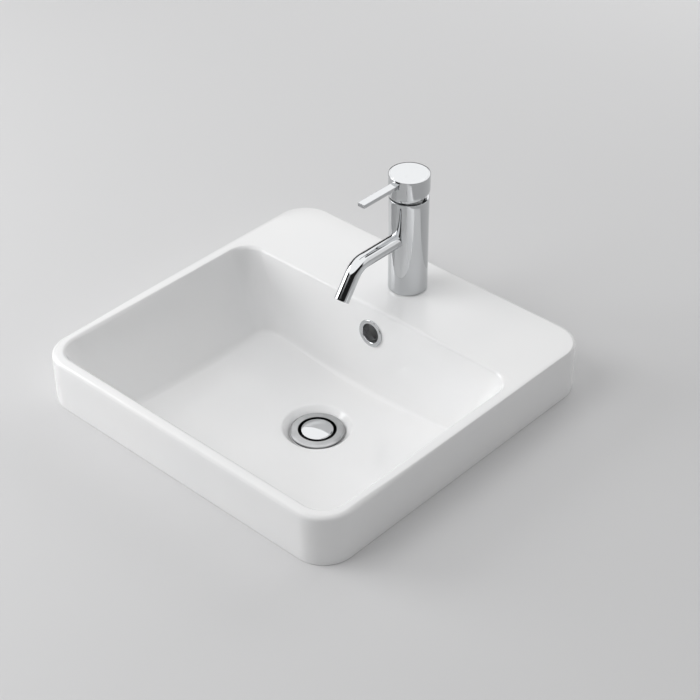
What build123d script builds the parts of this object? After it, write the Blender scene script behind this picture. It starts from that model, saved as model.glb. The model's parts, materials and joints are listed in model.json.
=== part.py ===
from build123d import *
import math
import os

os.makedirs("parts", exist_ok=True)

# An inset wash basin with a pop-up waste, an overflow ring and a single-lever mixer tap.
# Millimetres. The origin is at the plan centre of the basin, on the countertop plane.
# +X is to the user's right, +Y is towards the wall and the tap, +Z is up.

# Basin, outside
basin_width = 440.0
basin_depth = 432.0
rim_height = 63.0
corner_radius = 38.0
rim_width = 13.0
rim_roll = 6.0
deck_depth = 119.0
deck_wall = 12.0
apron_wall = 13.0

# Bowl
wall_drop = 106.0
side_batter = 41.0
front_batter = 40.0
back_batter = 8.0
bowl_corner = 28.0
floor_fillet = 12.0
floor_fall = 13.0
bowl_wall = 10.0
lip_roll = 5.0

# Waste hole in the bowl, with the recess that takes the flange
waste_setback = 95.0
recess_radius = 41.0
recess_drop = 9.0
recess_lip = 3.0
recess_roll = 4.0
seat_radius = 33.5
seat_wall = 7.0
hole_flare = 4.0
waste_hole_radius = 23.5
boss_radius = 37.0
boss_length = 40.0

# Overflow hole and the channel behind the bowl
overflow_drop = 35.0
overflow_hole_radius = 13.5
channel_width = 32.0
channel_gap = 15.0
channel_wall = 8.0
channel_top_drop = 19.0
channel_floor_gap = 20.0

# Tap hole and the places of the fixings
tap_setback = 58.0
tap_hole_radius = 17.5

# Tap body and spout
body_radius = 23.2
body_height = 121.6
spigot_radius = 16.8
spigot_length = 5.0
cartridge_bore_radius = 17.6
cartridge_bore_depth = 34.0
nut_thread_radius = 20.0
inlet_radius = 4.5
inlet_thread_depth = 12.0
inlet_spacing = 16.0
inlet_advance = 2.0
waterway_radius = 2.8
waterway_offset = 9.5
waterway_advance = 3.0
outlet_radius = 3.5
outlet_setback = 5.0
spout_radius = 8.9
spout_wall = 1.3
spout_height = 72.0
spout_reach = 113.0
spout_drop = 36.0
spout_angle = 55.0
spout_bend_radius = 22.0
spout_socket_depth = 5.0
spout_bore_radius = 5.0
aerator_length = 8.0
aerator_recess = 0.8
aerator_plate = 2.0
aerator_rim = 1.2
aerator_pitch = 2.5
aerator_hole_radius = 0.8
aerator_washer = 1.5

# Cartridge
housing_wall = 1.3
base_height = 5.4
base_foot_height = 2.0
port_seal_radius = 4.5
port_seal_section = 1.6
fixed_disc_height = 3.6
disc_port_radius = 2.2
disc_port_offset = 6.5
disc_port_advance = 4.0
moving_disc_radius = 11.0
moving_disc_height = 3.6
moving_disc_setback = 1.0
pocket_radius = 5.1
pocket_setback = 4.0
carrier_height = 6.0
rotor_radius = 12.2
rotor_foot_height = 2.6
rotor_rise = 3.5
rotor_slot_length = 18.4
neck_wall = 1.4
neck_drop = 1.0
shoulder_height = 2.4
pivot_drop = 3.0
pin_radius = 1.5
pin_recess = 0.4
spindle_side = 7.0
spindle_rise = 26.0
ball_radius = 3.0
ball_neck_radius = 2.1
ball_drop = 14.0
nut_collar_height = 2.0
nut_collar_across = 34.0

# Handle
cap_radius = 24.0
cap_rise = 30.0
cap_wall = 2.0
cap_gap_front = 3.1
cap_gap_back = 11.9
lid_height = 4.0
blade_width = 9.0
blade_height = 4.8
blade_reach = 80.5
blade_edge = 0.6
blade_slot_gap = 0.9
ledge_width = 2.0
ledge_height = 2.5
hub_radius = 8.0
hub_depth = 17.0
grub_radius = 2.5
grub_length = 5.0
grub_key = 2.5
grub_drop = 12.4

# Tap fixings under the deck
gasket_ring_radius = 20.0
gasket_section = 2.4
base_gap = 0.4
stud_radius = 3.0
stud_setback = 12.5
stud_grip = 12.0
stud_length = 62.0
clamp_radius = 26.0
clamp_slot = 26.0
clamp_slot_setback = 4.0
deck_washer_height = 3.0
clamp_plate_height = 3.0
fixing_nut_height = 14.0
fixing_nut_across = 11.0

# Waste
flange_radius = 32.0
flange_height = 3.0
flange_edge = 1.2
flange_seal_height = 2.0
mouth_radius = 22.7
mouth_depth = 2.5
throat_radius = 18.7
throat_depth = 9.0
tail_radius = 20.955
tail_bore_radius = 18.0
tail_groove_drop = 61.5
tail_groove_width = 1.2
tail_groove_depth = 0.8
tail_length = 95.0
slot_width = 20.0
slot_height = 12.0
slot_drop = 13.0
spider_drop = 36.0
spider_height = 9.0
spider_rib = 3.0
lower_washer_height = 5.0
backnut_height = 10.0
backnut_radius = 30.0
backnut_lug = 3.0

# Plug and its click latch
plug_radius = 18.8
plug_edge = 2.4
plug_crown = 2.2
plug_rim = 0.8
plug_boss_radius = 6.0
plug_boss_depth = 8.5
plug_thread_depth = 5.5
plug_seal_height = 3.0
plug_seal_grip = 3.0
plug_collar_height = 1.4
plunger_radius = 3.0
plunger_head_radius = 5.2
plunger_head_height = 2.5
latch_height = 6.0
latch_tooth = 2.0
latch_notch = 2.2
latch_teeth = 6
click_radius = 8.0
click_bore_radius = 6.2
click_length = 44.0
click_top_drop = 20.0
click_wall = 2.0
click_cap_height = 3.0
cam_height = 8.5
spring_length = 11.0
spring_radius = 4.4
spring_wire = 1.0
spring_turns = 5

# Overflow ring
ring_radius = 17.0
ring_flange_height = 2.0
ring_edge = 0.9
ring_bore_radius = 11.8
ring_sleeve_length = 9.0

# Flat sides that stand in for small round sections
o_ring_sides = 8
wire_sides = 6

# Clearances
running_gap = 0.05
seat_gap = 0.1
free_gap = 0.3
thread_gap = 0.05
slot_gap = 0.1
socket_gap = 0.25
lapped_gap = 0.02

# Derived places
half_width = basin_width / 2
half_depth = basin_depth / 2
bowl_front = -half_depth + rim_width
bowl_back = half_depth - deck_depth
deck_underside = rim_height - deck_wall
floor_edge_z = rim_height - wall_drop
recess_top_z = floor_edge_z - floor_fall
floor_slope = floor_fall / (half_width - rim_width - side_batter - recess_radius)
seat_z = recess_top_z - recess_drop
boss_bottom_z = seat_z - boss_length
waste_y = bowl_back - waste_setback
tap_y = half_depth - tap_setback
flange_top_z = seat_z + flange_seal_height + flange_height
overflow_z = rim_height - overflow_drop
overflow_y = bowl_back - back_batter * overflow_drop / wall_drop

body_bottom_z = rim_height + base_gap
body_top_z = body_bottom_z + body_height
cap_top_z = body_top_z + cap_rise
cavity_z = body_top_z - cartridge_bore_depth
spout_z = rim_height + spout_height
socket_y = tap_y - body_radius + spout_socket_depth
housing_radius = cartridge_bore_radius - seat_gap
pivot_z = body_top_z - pivot_drop
ball_z = pivot_z - ball_drop
carrier_top_z = cavity_z + base_height + fixed_disc_height + lapped_gap
carrier_top_z += moving_disc_height + carrier_height
rotor_foot_z = carrier_top_z + free_gap
rotor_foot_top = rotor_foot_z + rotor_foot_height
rotor_top_z = body_top_z + rotor_rise
shoulder_top_z = rotor_foot_top + running_gap + shoulder_height
nut_low_z = shoulder_top_z + running_gap
neck_radius = rotor_radius + running_gap + neck_wall
lid_low_z = cap_top_z - lid_height
blade_low_z = lid_low_z - blade_height
hub_low_z = lid_low_z - hub_depth
spigot_bottom_z = body_bottom_z - spigot_length

waste_axis = Axis((0, waste_y, 0), (0, 0, 1))
tap_axis = Axis((0, tap_y, 0), (0, 0, 1))
waste_section = Plane((0, waste_y, flange_top_z), x_dir=(1, 0, 0), z_dir=(0, -1, 0))
tap_section = Plane((0, tap_y, body_top_z), x_dir=(1, 0, 0), z_dir=(0, -1, 0))
front_section = Plane((0, 0, 0), x_dir=(1, 0, 0), z_dir=(0, -1, 0))
floor_section = Plane((0, waste_y, 0), x_dir=(1, 0, 0), z_dir=(0, -1, 0))
side_section = Plane((0, 0, 0), x_dir=(0, 1, 0), z_dir=(1, 0, 0))
pivot_plane = Plane((0, tap_y, pivot_z), x_dir=(0, 1, 0), z_dir=(1, 0, 0))
grub_plane = Plane((0, tap_y, cap_top_z - grub_drop), x_dir=(1, 0, 0), z_dir=(0, 1, 0))
overflow_plane = Plane(
    (0, overflow_y, overflow_z), x_dir=(1, 0, 0), z_dir=(0, -wall_drop, back_batter)
)
overflow_axis = Axis(overflow_plane.origin, overflow_plane.z_dir)
overflow_section = Plane(
    (0, overflow_y, overflow_z), x_dir=(1, 0, 0), z_dir=(0, -back_batter, -wall_drop)
)


def profile(plane, *points):
    """A closed outline of straight sides on a plane, as a face to turn or extrude."""
    with BuildSketch(plane) as outline:
        with BuildLine():
            Polyline(*points, close=True)
        make_face()
    return outline.sketch


def o_ring_section(plane, ring_radius, section):
    """An o-ring's section as a flat-sided round, at the ring's mean radius."""
    with BuildSketch(plane) as outline:
        with Locations((ring_radius, 0)):
            RegularPolygon(
                section / 2, o_ring_sides, major_radius=False, rotation=180 / o_ring_sides
            )
    return outline.sketch


def level(z, y=0.0):
    """A horizontal plane at a height, centred over y on the basin's centre line."""
    return Plane((0, y, z))


def bowl_walls(drop, grow):
    """The bowl's half width and its front and back at a depth, grown outwards by a wall."""
    share = drop / wall_drop
    side = half_width - rim_width - side_batter * share + grow
    front = bowl_front + front_batter * share - grow
    back = bowl_back - back_batter * share + grow
    return side, front, back


def bowl_form(top_drop, wall):
    """The bowl as a solid, grown by a wall: battered sides over a floor that falls to the waste."""
    top = rim_height - top_drop
    low = recess_top_z - wall
    keel = low - wall_drop / 10
    sump = recess_radius + wall
    brim = sump + basin_width
    side_top, front_top, back_top = bowl_walls(top_drop, wall)
    side_low, front_low, back_low = bowl_walls(rim_height - keel, wall)
    with BuildPart() as form:
        extrude(
            profile(
                front_section, (-side_top, top), (side_top, top), (side_low, keel), (-side_low, keel)
            ),
            amount=basin_depth,
            both=True,
        )
        extrude(
            profile(
                side_section, (front_top, top), (back_top, top), (back_low, keel), (front_low, keel)
            ),
            amount=basin_width,
            both=True,
            mode=Mode.INTERSECT,
        )
        upright = form.edges().filter_by(lambda e: abs(e.center().Z - (top + keel) / 2) < 1)
        fillet(upright, bowl_corner + wall)
        revolve(
            profile(
                floor_section,
                (0, low),
                (sump, low),
                (brim, low + floor_slope * (brim - sump)),
                (brim, top),
                (0, top),
            ),
            axis=waste_axis,
            mode=Mode.INTERSECT,
        )
        foot = form.edges().filter_by(
            lambda e: low < e.center().Z < top - 1 and e.geom_type != GeomType.LINE
        )
        foot = foot.filter_by(lambda e: abs((e @ 0).Z - (e @ 1).Z) < wall_drop / 3)
        if wall:
            chamfer(foot, floor_fillet / 2)
        else:
            fillet(foot, floor_fillet)
    return form.part


# Basin: one vitreous china piece
with BuildPart() as basin:
    with BuildSketch(level(0)):
        RectangleRounded(basin_width, basin_depth, corner_radius)
    extrude(amount=rim_height)
    fillet(basin.faces().sort_by(Axis.Z)[-1].edges(), rim_roll)
    with BuildSketch(level(0)):
        RectangleRounded(
            basin_width - 2 * apron_wall, basin_depth - 2 * apron_wall, corner_radius - apron_wall
        )
    extrude(amount=deck_underside, mode=Mode.SUBTRACT)
    # the rib behind and under the bowl that holds the overflow channel
    channel_back = bowl_back + bowl_wall + channel_gap
    channel_low = seat_z - channel_floor_gap
    rib_back = channel_back + channel_wall
    rib_low = channel_low - channel_wall
    chamfer_run = channel_gap + channel_wall
    with BuildSketch(side_section):
        with BuildLine():
            Polyline(
                (waste_y, deck_underside),
                (rib_back, deck_underside),
                (rib_back, rib_low + chamfer_run),
                (rib_back - chamfer_run, rib_low),
                (waste_y, rib_low),
                close=True,
            )
        make_face()
    extrude(amount=channel_width / 2 + channel_wall, both=True)
    with BuildSketch(level(boss_bottom_z, waste_y)):
        Circle(boss_radius)
    extrude(amount=boss_length)
    with BuildSketch(side_section):
        with BuildLine():
            Polyline(
                (waste_y, rim_height - channel_top_drop),
                (channel_back, rim_height - channel_top_drop),
                (channel_back, channel_low + channel_gap),
                (channel_back - channel_gap, channel_low),
                (waste_y, channel_low),
                close=True,
            )
        make_face()
    extrude(amount=channel_width / 2, both=True, mode=Mode.SUBTRACT)
    add(bowl_form(deck_wall, bowl_wall))
    with BuildSketch(level(seat_z - seat_wall, waste_y)):
        Circle(seat_radius + bowl_wall)
    extrude(amount=seat_wall + recess_drop)
    add(bowl_form(0, 0), mode=Mode.SUBTRACT)
    top_face = basin.faces().sort_by(Axis.Z)[-1]
    fillet(top_face.inner_wires()[0].edges(), lip_roll)
    # recess and seat for the waste flange, then the hole, flared at its mouth
    recess_slope = (recess_radius - seat_radius) / (recess_drop - recess_lip)
    revolve(
        profile(
            waste_section,
            (0, recess_top_z - flange_top_z + recess_lip),
            (recess_radius + recess_lip * recess_slope, recess_top_z - flange_top_z + recess_lip),
            (seat_radius, seat_z - flange_top_z + recess_lip),
            (seat_radius, seat_z - flange_top_z),
            (waste_hole_radius + hole_flare, seat_z - flange_top_z),
            (waste_hole_radius, seat_z - flange_top_z - 1.5 * hole_flare),
            (waste_hole_radius, boss_bottom_z - flange_top_z),
            (0, boss_bottom_z - flange_top_z),
        ),
        axis=waste_axis,
        mode=Mode.SUBTRACT,
    )
    with BuildSketch(level(deck_underside, tap_y)):
        Circle(tap_hole_radius)
    extrude(amount=deck_wall, mode=Mode.SUBTRACT)
    with BuildSketch(overflow_plane.offset(bowl_wall)):
        Circle(overflow_hole_radius)
    extrude(amount=-2 * bowl_wall - channel_gap / 2, mode=Mode.SUBTRACT)
basin.part.label = "basin"
export_step(basin.part, "parts/basin.step")


def ring_solid(plane, axis, inner, outer, low, high):
    """A plain ring, turned about an axis from its section."""
    return revolve(
        profile(plane, (inner, low), (outer, low), (outer, high), (inner, high)), axis=axis
    )


# Overflow ring: a chromed trim whose sleeve pushes into the hole in the back wall
with BuildPart() as overflow_ring:
    revolve(
        profile(
            overflow_section,
            (ring_bore_radius, -ring_sleeve_length),
            (overflow_hole_radius - seat_gap, -ring_sleeve_length),
            (overflow_hole_radius - seat_gap, 0),
            (ring_radius, 0),
            (ring_radius, ring_flange_height - ring_edge),
            (ring_radius - 0.3 * ring_edge, ring_flange_height - 0.3 * ring_edge),
            (ring_radius - ring_edge, ring_flange_height),
            (ring_bore_radius + ring_edge, ring_flange_height),
            (ring_bore_radius + 0.3 * ring_edge, ring_flange_height - 0.3 * ring_edge),
            (ring_bore_radius, ring_flange_height - ring_edge),
        ),
        axis=overflow_axis,
    )
overflow_ring.part.label = "overflow_ring"
export_step(overflow_ring.part, "parts/overflow_ring.step")

# Waste body: flange, throat, slotted tail and the spider that carries the click latch
with BuildPart() as waste_body:
    revolve(
        profile(
            waste_section,
            (mouth_radius, 0),
            (flange_radius - 2 * flange_edge, 0),
            (flange_radius, -flange_edge),
            (flange_radius, -flange_height),
            (mouth_radius + 2.8, -flange_height),
            (tail_radius, -throat_depth),
            (tail_radius, -tail_groove_drop),
            (tail_radius - tail_groove_depth, -tail_groove_drop - tail_groove_width / 2),
            (tail_radius, -tail_groove_drop - tail_groove_width),
            (tail_radius, -tail_length),
            (tail_bore_radius, -tail_length),
            (tail_bore_radius, -2 * throat_depth - 2),
            (throat_radius, -2 * throat_depth),
            (throat_radius, -throat_depth),
            (mouth_radius, -mouth_depth),
        ),
        axis=waste_axis,
    )
    with BuildSketch(level(flange_top_z - slot_drop - slot_height, waste_y)):
        SlotOverall(2 * tail_radius + slot_width, slot_width, rotation=90)
    extrude(amount=slot_height, mode=Mode.SUBTRACT)
    with BuildSketch(level(flange_top_z - spider_drop - spider_height, waste_y)):
        Circle(click_radius + spider_rib)
        with PolarLocations(0, 3, start_angle=30):
            Rectangle(tail_bore_radius + 0.5, spider_rib, align=(Align.MIN, Align.CENTER))
        Circle(click_radius, mode=Mode.SUBTRACT)
    extrude(amount=spider_height)
waste_body.part.label = "waste_body"
export_step(waste_body.part, "parts/waste_body.step")

# Seals and backnut that clamp the waste in the basin
with BuildPart() as flange_seal:
    ring_solid(
        waste_section,
        waste_axis,
        mouth_radius + 3.2,
        flange_radius - 1,
        -flange_height - flange_seal_height,
        -flange_height,
    )
flange_seal.part.label = "flange_seal"
export_step(flange_seal.part, "parts/flange_seal.step")

boss_drop = flange_top_z - boss_bottom_z
with BuildPart() as lower_washer:
    revolve(
        profile(
            waste_section,
            (tail_radius, -boss_drop - lower_washer_height),
            (backnut_radius, -boss_drop - lower_washer_height),
            (backnut_radius, -boss_drop - 2),
            (backnut_radius - 2, -boss_drop),
            (waste_hole_radius - 0.5, -boss_drop),
            (waste_hole_radius - 0.5, -boss_drop + 1.5),
            (tail_radius, -boss_drop + 3),
        ),
        axis=waste_axis,
    )
lower_washer.part.label = "lower_washer"
export_step(lower_washer.part, "parts/lower_washer.step")

with BuildPart() as backnut:
    backnut_low = boss_bottom_z - lower_washer_height - backnut_height
    with BuildSketch(level(backnut_low, waste_y)):
        Circle(backnut_radius - backnut_lug)
        with PolarLocations(backnut_radius - 1.5 * backnut_lug, 6):
            Rectangle(3 * backnut_lug, 3 * backnut_lug)
        Circle(tail_radius + thread_gap, mode=Mode.SUBTRACT)
    extrude(amount=backnut_height - 2)
    with BuildSketch(level(backnut_low + backnut_height - 2, waste_y)):
        Circle(backnut_radius)
        Circle(tail_radius + thread_gap, mode=Mode.SUBTRACT)
    extrude(amount=2)
backnut.part.label = "backnut"
export_step(backnut.part, "parts/backnut.step")

# Plug: a domed cap over a lip seal
crown_half = plug_radius - plug_rim
crown_radius = (crown_half**2 + plug_crown**2) / (2 * plug_crown)
with BuildPart() as plug_cap:
    with BuildSketch(waste_section):
        with BuildLine():
            Polyline(
                (0, plug_crown),
                (0, plug_thread_depth - plug_boss_depth),
                (plunger_radius + thread_gap, plug_thread_depth - plug_boss_depth),
                (plunger_radius + thread_gap, -plug_boss_depth),
                (plug_boss_radius, -plug_boss_depth),
                (plug_boss_radius, -plug_boss_depth + plug_seal_height),
                (plug_boss_radius + plug_seal_grip, -plug_boss_depth + plug_seal_height),
                (plug_boss_radius + plug_seal_grip, -plug_edge),
                (plug_radius - plug_rim / 2, -plug_edge),
                (plug_radius, -plug_edge + plug_rim / 2),
                (plug_radius, -plug_rim),
                (plug_radius - 0.3 * plug_rim, -0.3 * plug_rim),
                (plug_radius - plug_rim, 0),
            )
            RadiusArc((plug_radius - plug_rim, 0), (0, plug_crown), -crown_radius)
        make_face()
    revolve(axis=waste_axis)
plug_cap.part.label = "plug_cap"
export_step(plug_cap.part, "parts/plug_cap.step")

seal_lip_radius = throat_radius - 0.2
with BuildPart() as plug_seal:
    revolve(
        profile(
            waste_section,
            (plug_boss_radius + running_gap, -plug_boss_depth),
            (plug_boss_radius + running_gap, -plug_boss_depth + plug_seal_height),
            (plug_boss_radius + plug_seal_grip + 2, -plug_boss_depth + plug_seal_height),
            (seal_lip_radius, -throat_depth - 0.8),
            (seal_lip_radius, -throat_depth - 2.6),
            (seal_lip_radius - 1.5, -throat_depth - 2.6),
            (plug_boss_radius + plug_seal_grip + 1, -plug_boss_depth),
        ),
        axis=waste_axis,
    )
plug_seal.part.label = "plug_seal"
export_step(plug_seal.part, "parts/plug_seal.step")

# Plunger: screws into the cap, clamps the seal with its collar and rides in the latch
head_low = -(click_top_drop + click_length) + click_cap_height + spring_length
with BuildPart() as plunger:
    revolve(
        profile(
            waste_section,
            (0, plug_thread_depth - plug_boss_depth),
            (plunger_radius, plug_thread_depth - plug_boss_depth),
            (plunger_radius, -plug_boss_depth),
            (plug_boss_radius + plug_seal_grip, -plug_boss_depth),
            (plug_boss_radius + plug_seal_grip, -plug_boss_depth - plug_collar_height),
            (plunger_radius, -plug_boss_depth - plug_collar_height),
            (plunger_radius, head_low + plunger_head_height),
            (plunger_head_radius, head_low + plunger_head_height),
            (plunger_head_radius, head_low),
            (0, head_low),
        ),
        axis=waste_axis,
    )
plunger.part.label = "plunger"
export_step(plunger.part, "parts/plunger.step")

# Latch rotor: a toothed ring that rides on the plunger's head and turns as it travels
latch_low = head_low + plunger_head_height + running_gap
with BuildPart() as latch_rotor:
    with BuildSketch(level(flange_top_z + latch_low, waste_y)):
        Circle(click_bore_radius - running_gap)
        Circle(plunger_radius + running_gap, mode=Mode.SUBTRACT)
    extrude(amount=latch_height - latch_tooth)
    with BuildSketch(level(flange_top_z + latch_low + latch_height - latch_tooth, waste_y)):
        Circle(click_bore_radius - running_gap)
        Circle(plunger_radius + running_gap, mode=Mode.SUBTRACT)
        with PolarLocations(click_bore_radius, latch_teeth):
            Rectangle(2 * click_bore_radius, latch_notch, mode=Mode.SUBTRACT)
    extrude(amount=latch_tooth)
latch_rotor.part.label = "latch_rotor"
export_step(latch_rotor.part, "parts/latch_rotor.step")

# Click housing: the tube screwed into the spider, with its cam ring and end cap
with BuildPart() as click_housing:
    revolve(
        profile(
            waste_section,
            (plunger_radius + running_gap, -click_top_drop),
            (click_radius, -click_top_drop),
            (click_radius, -click_top_drop - click_length),
            (click_bore_radius, -click_top_drop - click_length),
            (click_bore_radius, -click_top_drop - click_wall),
            (plunger_radius + running_gap, -click_top_drop - click_wall),
        ),
        axis=waste_axis,
    )
click_housing.part.label = "click_housing"
export_step(click_housing.part, "parts/click_housing.step")

with BuildPart() as cam_ring:
    cam_top = flange_top_z - click_top_drop - click_wall
    with BuildSketch(level(cam_top, waste_y)):
        Circle(click_bore_radius - seat_gap)
        Circle(plunger_radius + free_gap, mode=Mode.SUBTRACT)
    extrude(amount=-cam_height + latch_tooth)
    with BuildSketch(level(cam_top - cam_height + latch_tooth, waste_y)):
        Circle(click_bore_radius - seat_gap)
        Circle(plunger_radius + free_gap, mode=Mode.SUBTRACT)
        with PolarLocations(click_bore_radius, latch_teeth):
            Rectangle(2 * click_bore_radius, latch_notch, mode=Mode.SUBTRACT)
    extrude(amount=-latch_tooth)
cam_ring.part.label = "cam_ring"
export_step(cam_ring.part, "parts/cam_ring.step")

with BuildPart() as click_end_cap:
    with BuildSketch(level(flange_top_z - click_top_drop - click_length, waste_y)):
        Circle(click_bore_radius - seat_gap)
        Rectangle(1.2, 8, mode=Mode.SUBTRACT)
    extrude(amount=click_cap_height / 2)
    with BuildSketch(
        level(flange_top_z - click_top_drop - click_length + click_cap_height / 2, waste_y)
    ):
        Circle(click_bore_radius - seat_gap)
    extrude(amount=click_cap_height / 2)
click_end_cap.part.label = "click_end_cap"
export_step(click_end_cap.part, "parts/click_end_cap.step")

# Click spring: one wire wound between the end cap and the plunger's head
spring_low_z = flange_top_z + head_low - spring_length + spring_wire / 2
coil_height = spring_length - spring_wire
with BuildPart() as click_spring:
    with BuildLine():
        coil = Helix(
            pitch=coil_height / spring_turns,
            height=coil_height,
            radius=spring_radius,
            center=(0, waste_y, spring_low_z),
        )
    with BuildSketch(Plane(coil @ 0, z_dir=coil % 0)):
        RegularPolygon(spring_wire / 2 - running_gap, wire_sides)
    sweep(path=coil, is_frenet=True)
click_spring.part.label = "click_spring"
export_step(click_spring.part, "parts/click_spring.step")

# Tap body: a plain cylinder with the cartridge's bore, the waterways and the spout socket
with BuildPart() as tap_body:
    revolve(
        profile(
            tap_section,
            (0, -body_height - spigot_length),
            (spigot_radius, -body_height - spigot_length),
            (spigot_radius, -body_height),
            (gasket_ring_radius - gasket_section / 2, -body_height),
            (gasket_ring_radius - gasket_section / 2, -body_height - base_gap + gasket_section),
            (gasket_ring_radius + gasket_section / 2, -body_height - base_gap + gasket_section),
            (gasket_ring_radius + gasket_section / 2, -body_height),
            (body_radius - 0.4, -body_height),
            (body_radius, -body_height + 0.4),
            (body_radius, -0.5),
            (body_radius - 0.5, 0),
            (nut_thread_radius, 0),
            (nut_thread_radius, shoulder_top_z - body_top_z),
            (cartridge_bore_radius, shoulder_top_z - body_top_z),
            (cartridge_bore_radius, -cartridge_bore_depth),
            (0, -cartridge_bore_depth),
        ),
        axis=tap_axis,
    )
    for side in (-1, 1):
        with BuildSketch(Plane((side * inlet_spacing / 2, tap_y - inlet_advance, spigot_bottom_z))):
            Circle(inlet_radius)
        extrude(amount=inlet_thread_depth, mode=Mode.SUBTRACT)
        with BuildSketch(Plane((side * waterway_offset, tap_y - waterway_advance, cavity_z))):
            Circle(waterway_radius)
        extrude(
            amount=spigot_bottom_z + inlet_thread_depth - 1 - cavity_z, mode=Mode.SUBTRACT
        )
    with BuildSketch(level(spigot_bottom_z, tap_y + stud_setback)):
        Circle(stud_radius + thread_gap)
    extrude(amount=stud_grip, mode=Mode.SUBTRACT)
    with BuildSketch(level(cavity_z, tap_y + outlet_setback)):
        Circle(outlet_radius)
    extrude(amount=spout_z - cavity_z, mode=Mode.SUBTRACT)
    back_end = Plane((0, tap_y + outlet_setback, spout_z), x_dir=(1, 0, 0), z_dir=(0, -1, 0))
    with BuildSketch(back_end):
        Circle(spout_bore_radius)
    extrude(amount=outlet_setback + body_radius, mode=Mode.SUBTRACT)
    with BuildSketch(Plane((0, socket_y, spout_z), x_dir=(1, 0, 0), z_dir=(0, -1, 0))):
        Circle(spout_radius)
    extrude(amount=spout_socket_depth + 1, mode=Mode.SUBTRACT)
tap_body.part.label = "tap_body"
export_step(tap_body.part, "parts/tap_body.step")

# Spout: one tube, level out of the body and then bent down towards the bowl
spout_tip = Vector(0, tap_y - spout_reach, spout_z - spout_drop)
bend_y = spout_tip.Y + spout_drop / math.tan(math.radians(spout_angle))
tip_direction = Vector(0, -math.cos(math.radians(spout_angle)), -math.sin(math.radians(spout_angle)))
with BuildPart() as spout:
    with BuildLine():
        route = FilletPolyline(
            (0, socket_y, spout_z), (0, bend_y, spout_z), tuple(spout_tip), radius=spout_bend_radius
        )
    with BuildSketch(Plane(route @ 0, z_dir=route % 0)):
        Circle(spout_radius)
        Circle(spout_radius - spout_wall, mode=Mode.SUBTRACT)
    sweep(path=route)
spout.part.label = "spout"
export_step(spout.part, "parts/spout.step")

# Aerator: a perforated cage and the washer it seals on, inside the spout's end
tip_plane = Plane(tuple(spout_tip), x_dir=(1, 0, 0), z_dir=tuple(-tip_direction))
with BuildPart() as aerator:
    with BuildSketch(tip_plane.offset(aerator_recess)):
        Circle(spout_radius - spout_wall - running_gap)
    extrude(amount=aerator_length)
    with BuildSketch(tip_plane.offset(aerator_recess + aerator_plate)):
        Circle(spout_radius - spout_wall - aerator_rim)
    extrude(amount=aerator_length - aerator_plate, mode=Mode.SUBTRACT)
    with BuildSketch(tip_plane.offset(aerator_recess)):
        Circle(aerator_hole_radius)
        with PolarLocations(aerator_pitch, 6):
            Circle(aerator_hole_radius)
        with PolarLocations(2 * aerator_pitch, 12, start_angle=15):
            Circle(aerator_hole_radius)
    extrude(amount=aerator_plate, mode=Mode.SUBTRACT)
aerator.part.label = "aerator"
export_step(aerator.part, "parts/aerator.step")

with BuildPart() as aerator_seal:
    with BuildSketch(tip_plane.offset(aerator_recess + aerator_length)):
        Circle(spout_radius - spout_wall - running_gap)
        Circle(spout_radius - spout_wall - aerator_rim - 0.5, mode=Mode.SUBTRACT)
    extrude(amount=aerator_washer)
aerator_seal.part.label = "aerator_seal"
export_step(aerator_seal.part, "parts/aerator_seal.step")

# Cartridge base with its three ports and their seals
port_places = [
    (-waterway_offset, -waterway_advance),
    (waterway_offset, -waterway_advance),
    (0, outlet_setback),
]
base_plane = level(cavity_z, tap_y)
with BuildPart() as cartridge_base:
    with BuildSketch(base_plane):
        Circle(housing_radius)
    extrude(amount=base_foot_height)
    with BuildSketch(base_plane.offset(base_foot_height)):
        Circle(housing_radius - housing_wall - seat_gap)
    extrude(amount=base_height - base_foot_height)
    with BuildSketch(base_plane):
        with Locations(*port_places):
            Circle(port_seal_radius + port_seal_section / 2)
    extrude(amount=port_seal_section, mode=Mode.SUBTRACT)
    with BuildSketch(base_plane):
        with Locations(*port_places[:2]):
            Circle(waterway_radius)
    extrude(amount=base_height / 2 + 1, mode=Mode.SUBTRACT)
    for side in (-1, 1):
        with BuildSketch(base_plane.offset(base_height / 2)):
            SlotCenterPoint(
                (
                    side * (waterway_offset + disc_port_offset) / 2,
                    -(waterway_advance + disc_port_advance) / 2,
                ),
                (side * waterway_offset, -waterway_advance),
                2 * waterway_radius,
            )
        extrude(amount=base_height / 2, mode=Mode.SUBTRACT)
    with BuildSketch(base_plane):
        with Locations(port_places[2]):
            Circle(outlet_radius)
    extrude(amount=base_height, mode=Mode.SUBTRACT)
cartridge_base.part.label = "cartridge_base"
export_step(cartridge_base.part, "parts/cartridge_base.step")

with BuildPart() as base_seals:
    for place in port_places:
        port_axis = Axis((place[0], tap_y + place[1], 0), (0, 0, 1))
        seal_plane = Plane(
            (place[0], tap_y + place[1], cavity_z + port_seal_section / 2),
            x_dir=(1, 0, 0),
            z_dir=(0, -1, 0),
        )
        revolve(o_ring_section(seal_plane, port_seal_radius, port_seal_section), axis=port_axis)
base_seals.part.label = "base_seals"
export_step(base_seals.part, "parts/base_seals.step")

# Ceramic discs: the fixed one has three ports, the moving one a pocket that joins them
disc_z = cavity_z + base_height
with BuildPart() as fixed_disc:
    with BuildSketch(level(disc_z, tap_y)):
        Circle(housing_radius - housing_wall - free_gap)
        with Locations((-disc_port_offset, -disc_port_advance), (disc_port_offset, -disc_port_advance)):
            Circle(disc_port_radius, mode=Mode.SUBTRACT)
        with Locations((0, outlet_setback)):
            Circle(outlet_radius, mode=Mode.SUBTRACT)
    extrude(amount=fixed_disc_height)
fixed_disc.part.label = "fixed_disc"
export_step(fixed_disc.part, "parts/fixed_disc.step")

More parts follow.
